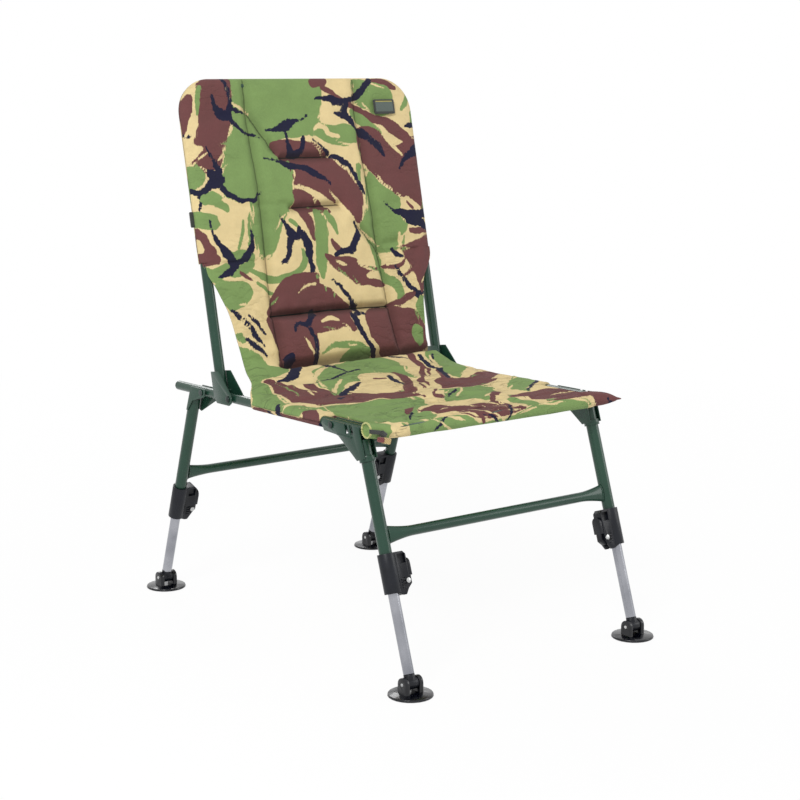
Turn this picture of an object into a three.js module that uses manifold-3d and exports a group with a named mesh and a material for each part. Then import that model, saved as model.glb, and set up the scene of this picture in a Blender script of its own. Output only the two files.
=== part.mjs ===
// A low folding fishing chair: a bent tube seat frame, a fold-down padded back, and four telescopic
// legs with cam clamps and swivelling mud feet. Millimetres. X runs across the chair, the front
// faces -Y and Z is up. The origin is on the ground, midway between the feet.
import * as THREE from "three";
import { mergeVertices } from "three/addons/utils/BufferGeometryUtils.js";
import Module from "manifold-3d";

const wasm = await Module();
wasm.setup();

// Gaps and cuts
const CLEAR = 0.3;
const OVERRUN = 6;
const WELD = 1e-4;

// Roundness
const TUBE_SIDES = 16;
const BAR_SIDES = 14;
const DISC_SIDES = 24;
const SMALL_SIDES = 8;
const BEND_STEPS = 5;

// Steps across and along the panels of the cover
const PANEL_COLUMNS = 10;
const SEAT_ROWS = 14;
const BACK_ROWS = 20;
const LUMBAR_ROWS = 26;

// Tubes and sheet
const RAIL_R = 8;
const RAIL_WALL = 1.2;
const BACK_TUBE_R = 9;
const BACK_TUBE_WALL = 1.2;
const LEG_R = 10;
const LEG_WALL = 1.2;
const INNER_R = 8.4;
const INNER_WALL = 1.2;
const SHEET = 2;

// Seat frame. The side tubes fall slightly towards the back.
const SIDE_X = 230;
const SEAT_HEIGHT = 380;
const SEAT_FALL = THREE.MathUtils.degToRad(0.75);
const RAIL_BACK_Y = 296;
const FRONT_BAR_Y = -278;
const SEAT_CORNER_R = 40;
const CAP_DOME = 4;
const CAP_STEM = 14;

// Pivots and their bolts
const BACK_PIVOT_Y = 118;
const FRONT_PIVOT_Y = -175;
const REAR_PIVOT_Y = 203;
const BOLT_R = 3;
const BOLT_HEAD_R = 5.5;
const BOLT_HEAD = 3;
const BOLT_NUT = 4;

// Backrest
const BACK_LEAN = THREE.MathUtils.degToRad(12.5);
const BACK_OFFSET = 34.5;
const BACK_HEIGHT = 528;
const BACK_CORNER_R = 50;

// Hinge ears, on both sides of the tube that they carry
const EAR_GAP = LEG_R + 2 * CLEAR;
const EAR_BOSS_R = RAIL_R + 3;
const EAR_TOP = RAIL_R - 1;
const BACK_EAR_HEIGHT = 48;
const BACK_EAR_WIDTH = 24;
const FRONT_EAR_BACK = 25;
const FRONT_EAR_BEND = 18;
const FRONT_COLLAR_FOOT = 68;
const FRONT_COLLAR_LENGTH = 9;
const FRONT_SLOT = 7;
const REAR_EAR_FRONT = 13;
const REAR_EAR_BACK = 34;
const REAR_EAR_LENGTH = 50;

// Legs
const FRONT_OFFSET = -60;
const REAR_OFFSET = 34.5;
const FOOT_Y = 358;
const INSERTED = 75;
const BAR_RISE = 27;
const LEG_BAR_R = 8;
const LEG_BAR_FLARE = 14;
const LEG_BAR_FLAT = 5;
const LEG_BAR_TAPER = 46;

// Cam clamps
const FRONT_CLAMP_Z = 204;
const REAR_CLAMP_Z = 196;
const CLAMP_LENGTH = 60;
const CLAMP_WALL = 3.2;
const CLAMP_R = LEG_R + CLEAR + CLAMP_WALL;
const BLOCK_REACH = 29;
const BLOCK_HALF = 9;
const BLOCK_CUT = 5;
const BLOCK_LOW = 5;
const POCKET_TOP = 4;
const POCKET_HEIGHT = 14;
const POCKET_DEPTH = 5;
const GROOVE = 1.6;
const SLOT_RISE = 26;
const SLOT_HALF = 4.6;
const PIN_RISE = 15;
const PIN_INSET = 4;
const PIN_R = 2.2;
const PIN_HEAD_R = 4.2;
const PIN_HEAD = 2;
const PIN_DROP = CLAMP_LENGTH - PIN_RISE;
const PIN_REACH = BLOCK_REACH - PIN_INSET;
const LEVER_THICK = 6;
const LEVER_HALF = 8.5;
const LEVER_TOP = 11;
const CAM_R = 5;
const CAM_NOSE = 12;

// Feet
const FOOT_R = 35;
const FOOT_DISC = 4;
const FOOT_RIM = 1;
const FOOT_GAP = 4.5;
const FOOT_PIN_R = 3;
const LUG_R = 9.5;
const LUG_HALF = INNER_R + CLEAR;
const CHEEK_R = 10.5;
const CHEEK_THICK = 7;
const CHEEK_OUT = LUG_HALF + 2 * CLEAR + CHEEK_THICK;
const PLUG_COLLAR = 4;
const PLUG_LENGTH = 12;
const FOOT_PIN_Z = FOOT_DISC + FOOT_RIM + FOOT_GAP + LUG_R;

// Cover
const SLEEVE = 2;
const SEAT_HEM_Y = 52;
const SEAT_SAG = 5;
const SEAT_PAD = 8;
const FOLD_HEIGHT = 1.2;
const FOLD_WIDTH = 20;
const SLEEVE_END_REACH = 18;
const SLEEVE_END_DEPTH = 16;
const SLEEVE_END_HEIGHT = 12.5;
const SLEEVE_END_BORE = 10;
const POCKET_HEM = 222;
const BACK_PUFF = 5;
const BACK_HOLLOW = 6;
const CHANNEL_HALF = 14;
const LUMBAR_PAD = 13;
const LUMBAR_REAR_PAD = 2.2;
const LUMBAR_CHANNEL_HALF = 15;
const EDGE_PAD = 2.4;
const BADGE_WIDTH = 46;
const BADGE_HEIGHT = 26;
const BADGE_THICK = 2;
const BADGE_INSET = 57;
const BADGE_DROP = 43;
const TAB_REACH = 6;
const TAB_THICK = 3;
const TAB_HEIGHT = 26;
const TAB_DROP = 224;

const paint = new THREE.MeshStandardMaterial({ color: 0x2c4f3f, roughness: 0.42, metalness: 0.3 });
const plastic = new THREE.MeshStandardMaterial({ color: 0x1b1c20, roughness: 0.4, metalness: 0 });
const rubber = new THREE.MeshStandardMaterial({ color: 0x14161a, roughness: 0.3, metalness: 0 });
const silver = new THREE.MeshStandardMaterial({ color: 0xc4c5cb, roughness: 0.3, metalness: 0.9 });
const zinc = new THREE.MeshStandardMaterial({ color: 0xb8babd, roughness: 0.35, metalness: 0.8 });
const cloth = new THREE.MeshStandardMaterial({ color: 0x6f8a4a, roughness: 0.9, metalness: 0 });
const label = new THREE.MeshStandardMaterial({ color: 0x2a2f26, roughness: 0.6, metalness: 0 });

const AXIS_X = new THREE.Vector3(1, 0, 0);
const AXIS_Y = new THREE.Vector3(0, 1, 0);
const AXIS_Z = new THREE.Vector3(0, 0, 1);
const SIDES = [["left", -1], ["right", 1]];

// Joining and cutting

function toSolid(geometry) {
  const bare = geometry.index ? geometry.toNonIndexed() : geometry.clone();
  bare.deleteAttribute("normal");
  bare.deleteAttribute("uv");
  const merged = mergeVertices(bare, WELD);
  return new wasm.Manifold(
    new wasm.Mesh({
      numProp: 3,
      vertProperties: merged.attributes.position.array,
      triVerts: new Uint32Array(merged.index.array),
    }),
  );
}

function toGeometry(solid) {
  const mesh = solid.getMesh();
  const geometry = new THREE.BufferGeometry();
  geometry.setAttribute("position", new THREE.BufferAttribute(mesh.vertProperties, 3));
  geometry.setIndex(new THREE.BufferAttribute(mesh.triVerts, 1));
  geometry.computeVertexNormals();
  return geometry;
}

function join(...geometries) {
  return toGeometry(geometries.map(toSolid).reduce((whole, next) => whole.add(next)));
}

function cut(geometry, ...tools) {
  return toGeometry(tools.map(toSolid).reduce((left, tool) => left.subtract(tool), toSolid(geometry)));
}

function place(parent, name, geometry, material, x = 0, y = 0, z = 0) {
  const mesh = new THREE.Mesh(geometry, material);
  mesh.name = name;
  mesh.position.set(x, y, z);
  parent.add(mesh);
  return mesh;
}

// Basic shapes

// A turned solid about Z. The profile of [radius, height] starts and ends on the axis or closes.
function turned(profile, sides) {
  const points = profile.map(([radius, height]) => new THREE.Vector2(radius, height));
  return new THREE.LatheGeometry(points, sides).rotateX(Math.PI / 2);
}

function rod(radius, low, high, sides) {
  const solid = new THREE.CylinderGeometry(radius, radius, high - low, sides);
  return solid.rotateX(Math.PI / 2).translate(0, 0, (low + high) / 2);
}

function rodX(radius, low, high, sides) {
  return rod(radius, low, high, sides).rotateY(Math.PI / 2);
}

function rodY(radius, low, high, sides) {
  return rod(radius, low, high, sides).rotateX(-Math.PI / 2);
}

function pipe(outer, inner, low, high) {
  return turned([[inner, low], [outer, low], [outer, high], [inner, high], [inner, low]], TUBE_SIDES);
}

// An outline in the Y-Z plane, given thickness along X.
function plate(outline, fromX, toX) {
  const shape = new THREE.Shape(outline.map(([y, z]) => new THREE.Vector2(y, z)));
  const solid = new THREE.ExtrudeGeometry(shape, { depth: toX - fromX, bevelEnabled: false });
  solid.applyMatrix4(new THREE.Matrix4().makeBasis(AXIS_Y, AXIS_Z, AXIS_X));
  return solid.translate(fromX, 0, 0);
}

// An outline in the X-Z plane, given thickness on both sides of Y zero.
function slab(outline, half) {
  const shape = new THREE.Shape(outline.map(([x, z]) => new THREE.Vector2(x, z)));
  const solid = new THREE.ExtrudeGeometry(shape, { depth: 2 * half, bevelEnabled: false });
  return solid.rotateX(Math.PI / 2).translate(0, half, 0);
}

function block(low, high) {
  const size = high.map((value, i) => value - low[i]);
  const middle = high.map((value, i) => (value + low[i]) / 2);
  return new THREE.BoxGeometry(...size).translate(...middle);
}

// A path through points, with a ring of the tube at each of them.
class Polyline extends THREE.Curve {
  constructor(points) {
    super();
    this.points = points;
  }

  getPoint(share, target = new THREE.Vector3()) {
    const place = share * (this.points.length - 1);
    const before = Math.min(Math.floor(place + WELD), this.points.length - 2);
    return target.lerpVectors(this.points[before], this.points[before + 1], place - before);
  }

  getPointAt(share, target) {
    return this.getPoint(share, target);
  }

  getTangentAt(share, target = new THREE.Vector3()) {
    const nearest = Math.round(share * (this.points.length - 1));
    const before = this.points[Math.max(nearest - 1, 0)];
    const after = this.points[Math.min(nearest + 1, this.points.length - 1)];
    return target.subVectors(after, before).normalize();
  }
}

// A round bar that follows points.
function bentBar(points, radius) {
  const ring = Array.from({ length: BAR_SIDES }, (_, side) => {
    const turn = (side / BAR_SIDES) * 2 * Math.PI;
    return new THREE.Vector2(radius * Math.cos(turn), radius * Math.sin(turn));
  });
  const settings = { steps: points.length - 1, extrudePath: new Polyline(points), bevelEnabled: false };
  return new THREE.ExtrudeGeometry(new THREE.Shape(ring), settings);
}

// Points of a U with two round corners: across is its half width, open and closed its two ends.
function bentU(across, open, closed, radius, toPoint) {
  const way = Math.sign(closed - open);
  const corner = Array.from({ length: BEND_STEPS + 1 }, (_, step) => {
    const turn = ((step / BEND_STEPS) * Math.PI) / 2;
    return [across - radius * (1 - Math.cos(turn)), closed - way * radius * (1 - Math.sin(turn))];
  });
  const half = [[across, open], ...corner];
  const other = half.map(([x, along]) => [-x, along]).reverse();
  return [...half, ...other].map(([x, along]) => toPoint(x, along));
}

// Half the width of a round cornered panel, past is how far a place lies beyond the corner's start.
function cornerHalf(across, radius, past) {
  return across - radius + Math.sqrt(Math.max(radius ** 2 - Math.max(past, 0) ** 2, 0));
}

// A soft panel between two surfaces, each a function of two shares from 0 to 1.
function blanket(columns, rows, face, under) {
  const position = [];
  const index = [];
  const at = (side, i, j) => (side * (rows + 1) + j) * (columns + 1) + i;
  const quad = (a, b, c, d) => index.push(a, b, c, a, c, d);
  for (const surface of [face, under]) {
    for (let j = 0; j <= rows; j++) {
      for (let i = 0; i <= columns; i++) {
        position.push(...surface(i / columns, j / rows).toArray());
      }
    }
  }
  for (let j = 0; j < rows; j++) {
    for (let i = 0; i < columns; i++) {
      quad(at(0, i, j), at(0, i + 1, j), at(0, i + 1, j + 1), at(0, i, j + 1));
      quad(at(1, i, j + 1), at(1, i + 1, j + 1), at(1, i + 1, j), at(1, i, j));
    }
    quad(at(0, 0, j), at(0, 0, j + 1), at(1, 0, j + 1), at(1, 0, j));
    quad(at(1, columns, j), at(1, columns, j + 1), at(0, columns, j + 1), at(0, columns, j));
  }
  for (let i = 0; i < columns; i++) {
    quad(at(1, i, 0), at(1, i + 1, 0), at(0, i + 1, 0), at(0, i, 0));
    quad(at(0, i, rows), at(0, i + 1, rows), at(1, i + 1, rows), at(1, i, rows));
  }
  const geometry = new THREE.BufferGeometry();
  geometry.setAttribute("position", new THREE.Float32BufferAttribute(position, 3));
  geometry.setIndex(index);
  return geometry;
}

const root = new THREE.Group();

// The seat, in a frame whose X-Y plane holds the centre lines of its tubes

const seat = new THREE.Group();
seat.position.z = SEAT_HEIGHT;
seat.rotation.x = -SEAT_FALL;
root.add(seat);

const BOLT_REACH = EAR_GAP + SHEET + CLEAR;
const seatPath = (open) =>
  bentU(SIDE_X, open, FRONT_BAR_Y, SEAT_CORNER_R, (x, y) => new THREE.Vector3(x, y, 0));

// A bolt through a tube and its two ears, its head on the outer side.
function pivotBolt() {
  const dome = [
    [0, BOLT_REACH], [BOLT_HEAD_R, BOLT_REACH], [BOLT_HEAD_R, BOLT_REACH + BOLT_HEAD / 2],
    [BOLT_HEAD_R / 2, BOLT_REACH + BOLT_HEAD], [0, BOLT_REACH + BOLT_HEAD],
  ];
  const shank = rod(BOLT_R, -BOLT_REACH - BOLT_NUT / 2, BOLT_REACH + BOLT_HEAD / 2, SMALL_SIDES);
  const nut = rod(BOLT_HEAD_R, -BOLT_REACH - BOLT_NUT, -BOLT_REACH, SMALL_SIDES);
  return join(shank, turned(dome, SMALL_SIDES), nut).rotateY(Math.PI / 2);
}

function boltHole() {
  return rodX(BOLT_R + CLEAR, -BOLT_REACH - OVERRUN, BOLT_REACH + OVERRUN, SMALL_SIDES);
}

function seatFrame() {
  const outer = bentBar(seatPath(RAIL_BACK_Y), RAIL_R);
  const bore = bentBar(seatPath(RAIL_BACK_Y + OVERRUN), RAIL_R - RAIL_WALL);
  const pivots = [["back", BACK_PIVOT_Y], ["front_leg", FRONT_PIVOT_Y], ["rear_leg", REAR_PIVOT_Y]];
  const holes = SIDES.flatMap(([, way]) => pivots.map(([, y]) => boltHole().translate(way * SIDE_X, y, 0)));
  place(seat, "seat_tube", cut(outer, bore, ...holes), paint);
  const stem = RAIL_R - RAIL_WALL - CLEAR;
  const capProfile = [
    [0, -CAP_STEM], [stem, -CAP_STEM], [stem, CLEAR], [RAIL_R, CLEAR],
    [RAIL_R * Math.SQRT1_2, CAP_DOME], [0, CAP_DOME],
  ];
  for (const [side, way] of SIDES) {
    const cap = turned(capProfile, TUBE_SIDES).rotateX(-Math.PI / 2);
    place(seat, `rail_cap_${side}`, cap, plastic, way * SIDE_X, RAIL_BACK_Y);
    for (const [joint, y] of pivots) {
      place(seat, `${joint}_bolt_${side}`, pivotBolt(), zinc, way * SIDE_X, y).scale.x = way;
    }
  }
}

// Cover on the seat

const SEAT_TOP = RAIL_R + CLEAR + SLEEVE;
const FOLD_PLACE_SHARES = [0.22, 0.47, 0.74];
const FOLD_SLANT_SHARE = 0.1;

function seatCover() {
  const outer = RAIL_R + CLEAR + SLEEVE;
  const depth = SEAT_HEM_Y - FRONT_BAR_Y;
  const surface = (drop) => (u, v) => {
    const y = FRONT_BAR_Y + depth * v;
    const across = 2 * u - 1;
    const inside = (1 - across ** 2) * Math.min(1, 4 * v);
    const fold = FOLD_PLACE_SHARES.reduce(
      (sum, share) => sum + Math.exp(-((((v - share - FOLD_SLANT_SHARE * across) * depth) / FOLD_WIDTH) ** 2)), 0);
    const top = SEAT_TOP - SEAT_SAG * inside + FOLD_HEIGHT * fold * inside;
    const thick = 2 * SLEEVE + (SEAT_PAD - SLEEVE) * inside;
    const half = cornerHalf(SIDE_X, SEAT_CORNER_R, FRONT_BAR_Y + SEAT_CORNER_R - y);
    return new THREE.Vector3(across * half, y, top - drop * thick);
  };
  const panel = blanket(PANEL_COLUMNS, SEAT_ROWS, surface(0), surface(1));
  const sleeve = bentBar(seatPath(SEAT_HEM_Y), outer);
  const tunnel = bentBar(seatPath(SEAT_HEM_Y + OVERRUN), RAIL_R + CLEAR);
  const notchFront = FRONT_PIVOT_Y + FRONT_OFFSET - LEG_R - 3 * SHEET;
  const notchRear = FRONT_PIVOT_Y + FRONT_EAR_BACK + 2 * SHEET;
  const notchInner = SIDE_X - BOLT_REACH - BOLT_NUT - SHEET;
  const notchOuter = SIDE_X + outer + OVERRUN;
  const notchLow = -outer - OVERRUN;
  const solids = [panel, sleeve];
  const tools = [tunnel];
  for (const [, way] of SIDES) {
    const middle = FRONT_BAR_Y + SLEEVE_END_DEPTH / 3;
    const end = rodX(SLEEVE_END_HEIGHT, SIDE_X - SEAT_CORNER_R, SIDE_X + SLEEVE_END_REACH, TUBE_SIDES);
    const bore = rodX(
      SLEEVE_END_HEIGHT - SLEEVE, SIDE_X + SLEEVE_END_REACH - SLEEVE_END_BORE,
      SIDE_X + SLEEVE_END_REACH + OVERRUN, TUBE_SIDES);
    for (const [tube, list] of [[end, solids], [bore, tools]]) {
      tube.scale(way, SLEEVE_END_DEPTH / SLEEVE_END_HEIGHT, 1);
      list.push((way < 0 ? flipped(tube) : tube).translate(0, middle, 0));
    }
    tools.push(block(
      [Math.min(way * notchInner, way * notchOuter), notchFront, notchLow],
      [Math.max(way * notchInner, way * notchOuter), notchRear, SEAT_TOP + OVERRUN],
    ));
  }
  place(seat, "seat_cover", cut(join(...solids), ...tools), cloth);
}

// The same surface with its triangles turned round, after a mirrored scale.
function flipped(geometry) {
  const order = geometry.index.array;
  for (let i = 0; i < order.length; i += 3) {
    [order[i], order[i + 1]] = [order[i + 1], order[i]];
  }
  return geometry;
}

// Backrest, in a frame at its pivot whose Z runs up along the back tube

const backrest = new THREE.Group();
backrest.position.y = BACK_PIVOT_Y;
backrest.rotation.x = SEAT_FALL - BACK_LEAN;
seat.add(backrest);

// The place in the seat's frame of a point of the backrest's frame.
const backToSeat = (y, z) =>
  new THREE.Vector3(0, y, z).applyEuler(backrest.rotation).add(backrest.position);

const backPath = (open) =>
  bentU(SIDE_X, open, BACK_HEIGHT, BACK_CORNER_R, (x, z) => new THREE.Vector3(x, BACK_OFFSET, z));

// The lowest place along the back's own Z that still clears the rail, at a distance behind the pivot.
function aboveRail(behind) {
  const lean = backrest.rotation.x;
  return (RAIL_R + 2 * CLEAR - behind * Math.sin(lean)) / Math.cos(lean);
}

function backTube() {
  const foot = aboveRail(BACK_OFFSET + BACK_TUBE_R) + SHEET + CLEAR;
  const outer = bentBar(backPath(foot), BACK_TUBE_R);
  const bore = bentBar(backPath(foot - OVERRUN), BACK_TUBE_R - BACK_TUBE_WALL);
  place(backrest, "back_tube", cut(outer, bore), paint);
}

const BOSS_DIAGONAL = EAR_BOSS_R * Math.SQRT1_2;

// A bracket of two ears of the given outlines and the webs that join them.
function bracket(outerEar, innerEar, webs, ...extras) {
  const solids = [
    plate(outerEar, EAR_GAP, EAR_GAP + SHEET),
    plate(innerEar, -EAR_GAP - SHEET, -EAR_GAP),
    ...webs.map((web) => plate(web, -EAR_GAP - SHEET / 2, EAR_GAP + SHEET / 2)),
    ...extras,
  ];
  return cut(join(...solids), boltHole());
}

function backBrackets() {
  const rear = BACK_OFFSET + BACK_TUBE_R;
  const front = BACK_OFFSET - BACK_TUBE_R;
  const ear = [
    [-BOSS_DIAGONAL, BOSS_DIAGONAL], [-EAR_BOSS_R, 0], [-BOSS_DIAGONAL, -BOSS_DIAGONAL], [0, -EAR_BOSS_R],
    [rear - EAR_TOP, -EAR_TOP / 2], [rear, EAR_TOP], [rear, BACK_EAR_HEIGHT + SHEET],
    [rear - BACK_EAR_WIDTH, BACK_EAR_HEIGHT],
  ];
  const shelf = [
    [front, aboveRail(front)], [rear, aboveRail(rear)],
    [rear, aboveRail(rear) + SHEET], [front, aboveRail(front) + SHEET],
  ];
  for (const [side, way] of SIDES) {
    place(backrest, `back_bracket_${side}`, bracket(ear, ear, [shelf]), paint, way * SIDE_X).scale.x = way;
  }
}

// Sewn channels across the back, as shares of the way from the pocket's hem to its top.
const CHANNEL_PLACE_SHARES = [0.07, 0.32, 0.6];
const BADGE_PUFF_SHARE = 0.74;

function backCover() {
  const top = BACK_HEIGHT;
  const tall = top - POCKET_HEM;
  const outer = BACK_TUBE_R + CLEAR + SLEEVE;
  const drawn = (share) => CHANNEL_PLACE_SHARES.reduce(
    (least, at) => Math.min(least, 1 - Math.exp(-((((share - at) * tall) / CHANNEL_HALF) ** 2))), 1);
  const surface = (depth) => (u, v) => {
    const z = POCKET_HEM + tall * v;
    const across = 2 * u - 1;
    const inside = (1 - across ** 4) * Math.min(1, 5 * (1 - v));
    const half = cornerHalf(SIDE_X, BACK_CORNER_R, z - top + BACK_CORNER_R);
    return new THREE.Vector3(across * half, depth(inside, v), z);
  };
  const front = surface((inside, v) => BACK_OFFSET - outer + CLEAR - BACK_PUFF * inside * drawn(v));
  const rear = surface((inside) => BACK_OFFSET + outer - CLEAR - BACK_HOLLOW * inside);
  const panel = blanket(PANEL_COLUMNS, BACK_ROWS, front, rear);
  const sleeve = bentBar(backPath(POCKET_HEM), outer);
  const tunnel = bentBar(backPath(POCKET_HEM - OVERRUN), BACK_TUBE_R + CLEAR);
  place(backrest, "back_cover", cut(join(panel, sleeve), tunnel), cloth);
  const badge = new THREE.BoxGeometry(BADGE_WIDTH, BADGE_THICK, BADGE_HEIGHT);
  const badgeY = BACK_OFFSET - outer - BACK_PUFF * BADGE_PUFF_SHARE - BADGE_THICK / 2;
  place(backrest, "badge", badge, label, SIDE_X - BADGE_INSET, badgeY, top - BADGE_DROP);
  const tab = new THREE.BoxGeometry(TAB_REACH, TAB_THICK, TAB_HEIGHT);
  const tabX = SIDE_X + outer + CLEAR + TAB_REACH / 2;
  place(backrest, "side_tab", tab, cloth, -tabX, BACK_OFFSET, top - TAB_DROP);
}

// The free part of the cover, from the seat's hem through the crease up to the pocket's hem. Each row
// holds shares of the half width, of the way back and of the way up.
const LUMBAR_SHARES = [
  [1.015, 0, 0], [0.965, 0.2, 0.026], [0.904, 0.33, 0.074], [0.878, 0.52, 0.147], [0.861, 0.6, 0.2],
  [0.861, 0.644, 0.258], [0.87, 0.695, 0.384], [0.887, 0.753, 0.484], [0.909, 0.84, 0.632],
  [0.939, 0.913, 0.784], [0.99, 1, 1],
];

// Sewn channels across the free part, as shares of its rows, and its two seams down, as shares of its
// half width.
const LUMBAR_CHANNEL_SHARES = [0.4, 0.75];
const LUMBAR_SEAM_SHARE = 0.6;
const LUMBAR_SEAM_WIDTH_SHARE = 0.12;
const LUMBAR_SEAM_DEPTH_SHARE = 0.45;

function lumbarCover() {
  const start = new THREE.Vector3(0, SEAT_HEM_Y + CLEAR, SEAT_TOP + EDGE_PAD / 2);
  const pocketFront = BACK_OFFSET - BACK_TUBE_R - CLEAR - SLEEVE;
  const end = backToSeat(pocketFront - EDGE_PAD / 2, POCKET_HEM - 2 * CLEAR);
  const path = new THREE.CatmullRomCurve3(LUMBAR_SHARES.map(([wide, back, up]) =>
    new THREE.Vector3(wide * SIDE_X, start.y + back * (end.y - start.y), start.z + up * (end.z - start.z))));
  const channels = LUMBAR_CHANNEL_SHARES.map((share) => path.getPoint(share).setX(0));
  const drawn = (point, across) => {
    const middle = point.clone().setX(0);
    const channel = channels.reduce(
      (least, at) => Math.min(least, 1 - Math.exp(-((at.distanceTo(middle) / LUMBAR_CHANNEL_HALF) ** 2))), 1);
    const seam = Math.exp(-(((Math.abs(across) - LUMBAR_SEAM_SHARE) / LUMBAR_SEAM_WIDTH_SHARE) ** 2));
    return channel * (1 - LUMBAR_SEAM_DEPTH_SHARE * seam);
  };
  const surface = (way, fullness) => (u, v) => {
    const point = path.getPoint(v);
    const along = path.getTangent(v).setX(0).normalize();
    const out = AXIS_X.clone().cross(along);
    const across = 2 * u - 1;
    const ends = Math.min(1, 5 * v, 5 * (1 - v));
    const pad = EDGE_PAD / 2 + fullness(point, across) * (1 - across ** 2) * ends;
    return point.setX(across * point.x).addScaledVector(out, way * pad);
  };
  const front = surface(1, (point, across) => LUMBAR_PAD * drawn(point, across));
  const rear = surface(-1, () => LUMBAR_REAR_PAD);
  const panel = blanket(PANEL_COLUMNS, LUMBAR_ROWS, front, rear);
  place(seat, "lumbar_cover", panel, cloth);
}

// Legs. A pair hangs in a frame at its pivot whose -Z runs down along its tubes.

function legFrame(pivotY, footY, offset) {
  const pin = new THREE.Vector3(0, footY, FOOT_PIN_Z).sub(seat.position).applyAxisAngle(AXIS_X, SEAT_FALL);
  const [run, drop] = [pin.y - pivotY, -pin.z];
  const span = Math.hypot(run, drop);
  const frame = new THREE.Group();
  frame.position.y = pivotY;
  frame.rotation.x = Math.atan2(run, drop) - Math.asin(offset / span);
  frame.userData.footZ = -Math.sqrt(span ** 2 - offset ** 2);
  seat.add(frame);
  root.updateMatrixWorld(true);
  return frame;
}

// Where a leg's centre line, in its own frame, is at a height above the ground.
function alongLeg(frame, offset, height) {
  const top = frame.localToWorld(new THREE.Vector3(0, offset, 0));
  const foot = frame.localToWorld(new THREE.Vector3(0, offset, frame.userData.footZ));
  return (frame.userData.footZ * (top.z - height)) / (top.z - foot.z);
}

// The highest place along a leg's own Z, at a distance from the pivot, that stays under the seat tube.
function underRail(frame, y, gap) {
  return (-RAIL_R - gap - y * Math.sin(frame.rotation.x)) / Math.cos(frame.rotation.x);
}

// Points given along and above the seat tube from the pivot, in a leg's own frame.
function fromRail(frame, ...points) {
  return points.map(([y, z]) => {
    const point = new THREE.Vector3(0, y, z).applyAxisAngle(AXIS_X, -frame.rotation.x);
    return [point.y, point.z];
  });
}

// A strip of sheet on the upper side of a line between two points.
function strip([y1, z1], [y2, z2]) {
  const length = Math.hypot(y2 - y1, z2 - z1);
  const [ny, nz] = [(-(z2 - z1) * SHEET) / length, ((y2 - y1) * SHEET) / length];
  return [[y1, z1], [y2, z2], [y2 + ny, z2 + nz], [y1 + ny, z1 + nz]];
}

const between = ([y1, z1], [y2, z2], share) => [y1 + (y2 - y1) * share, z1 + (z2 - z1) * share];

const REAR_CURVE_SHARE = 0.6;
const REAR_WAIST_SHARE = 0.55;

function rearBracket(frame) {
  const middle = REAR_OFFSET + SHEET;
  const front = REAR_OFFSET - LEG_R;
  const under = -RAIL_R - 2 * CLEAR;
  const [topFront, topBack, low, curve] = fromRail(
    frame, [-REAR_EAR_FRONT, EAR_TOP], [REAR_EAR_BACK, EAR_TOP], [-REAR_EAR_FRONT / 2, -2 * RAIL_R],
    [-REAR_EAR_FRONT * REAR_CURVE_SHARE, -EAR_TOP]);
  const waist = [front, -REAR_EAR_LENGTH * REAR_WAIST_SHARE];
  const back = [[middle, -REAR_EAR_LENGTH], topBack];
  const outerEar = [topFront, curve, waist, [REAR_OFFSET - SHEET, -REAR_EAR_LENGTH], ...back];
  const innerEar = [topFront, low, [front, -REAR_EAR_LENGTH], ...back];
  const stop = fromRail(
    frame, [EAR_BOSS_R + SHEET, under], [EAR_BOSS_R + SHEET, under - SHEET],
    [REAR_EAR_BACK - SHEET, under - SHEET], [REAR_EAR_BACK - SHEET, under]);
  return bracket(outerEar, innerEar, [stop]);
}

const LIP_SHARE = 0.9;
const FRONT_WEB_SHARE = 0.1;
const SLOT_PLACE_SHARES = [0.5, 0.68];
const SLOT_HIGH_SHARE = 0.75;

function frontBracket(frame, tubeTop) {
  const rear = FRONT_OFFSET + LEG_R;
  const front = FRONT_OFFSET - LEG_R;
  const nose = FRONT_OFFSET * LIP_SHARE;
  const [backTop, backMiddle, backLow, bend, lipEnd, topFront] = fromRail(
    frame,
    [FRONT_EAR_BACK - EAR_TOP, EAR_TOP], [FRONT_EAR_BACK, 0], [FRONT_EAR_BACK - EAR_TOP, -EAR_BOSS_R],
    [-FRONT_EAR_BEND, -EAR_BOSS_R - SHEET], [nose, -EAR_BOSS_R - SHEET], [front, EAR_TOP],
  );
  const heel = [rear, -FRONT_COLLAR_FOOT + FRONT_COLLAR_LENGTH / 2];
  const ear = [backTop, topFront, [front, topFront[1] - EAR_TOP], [front, heel[1]], heel, bend, backLow, backMiddle];
  const lip = plate(strip(lipEnd, bend), EAR_GAP + SHEET / 2, EAR_GAP + 2 * SHEET);
  const collar = pipe(EAR_GAP + SHEET, LEG_R + CLEAR, -FRONT_COLLAR_FOOT, -FRONT_COLLAR_FOOT + FRONT_COLLAR_LENGTH);
  const slots = SLOT_PLACE_SHARES.map((share) => {
    const [low, high] = fromRail(
      frame, [front * (share + LIP_SHARE / 6), -RAIL_R * SLOT_HIGH_SHARE], [front * share, RAIL_R * SLOT_HIGH_SHARE]);
    const outline = [low, [low[0] + FRONT_SLOT, low[1]], high, [high[0] - FRONT_SLOT, high[1]]];
    return plate(outline, EAR_GAP - SHEET, EAR_GAP + SHEET + OVERRUN);
  });
  const web = strip(heel, between(bend, heel, FRONT_WEB_SHARE));
  const whole = bracket(ear, ear, [web], lip, collar.translate(0, FRONT_OFFSET, 0));
  return cut(whole, ...slots, rod(LEG_R + CLEAR, -FRONT_COLLAR_FOOT - OVERRUN, tubeTop, TUBE_SIDES)
    .translate(0, FRONT_OFFSET, 0));
}

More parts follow.
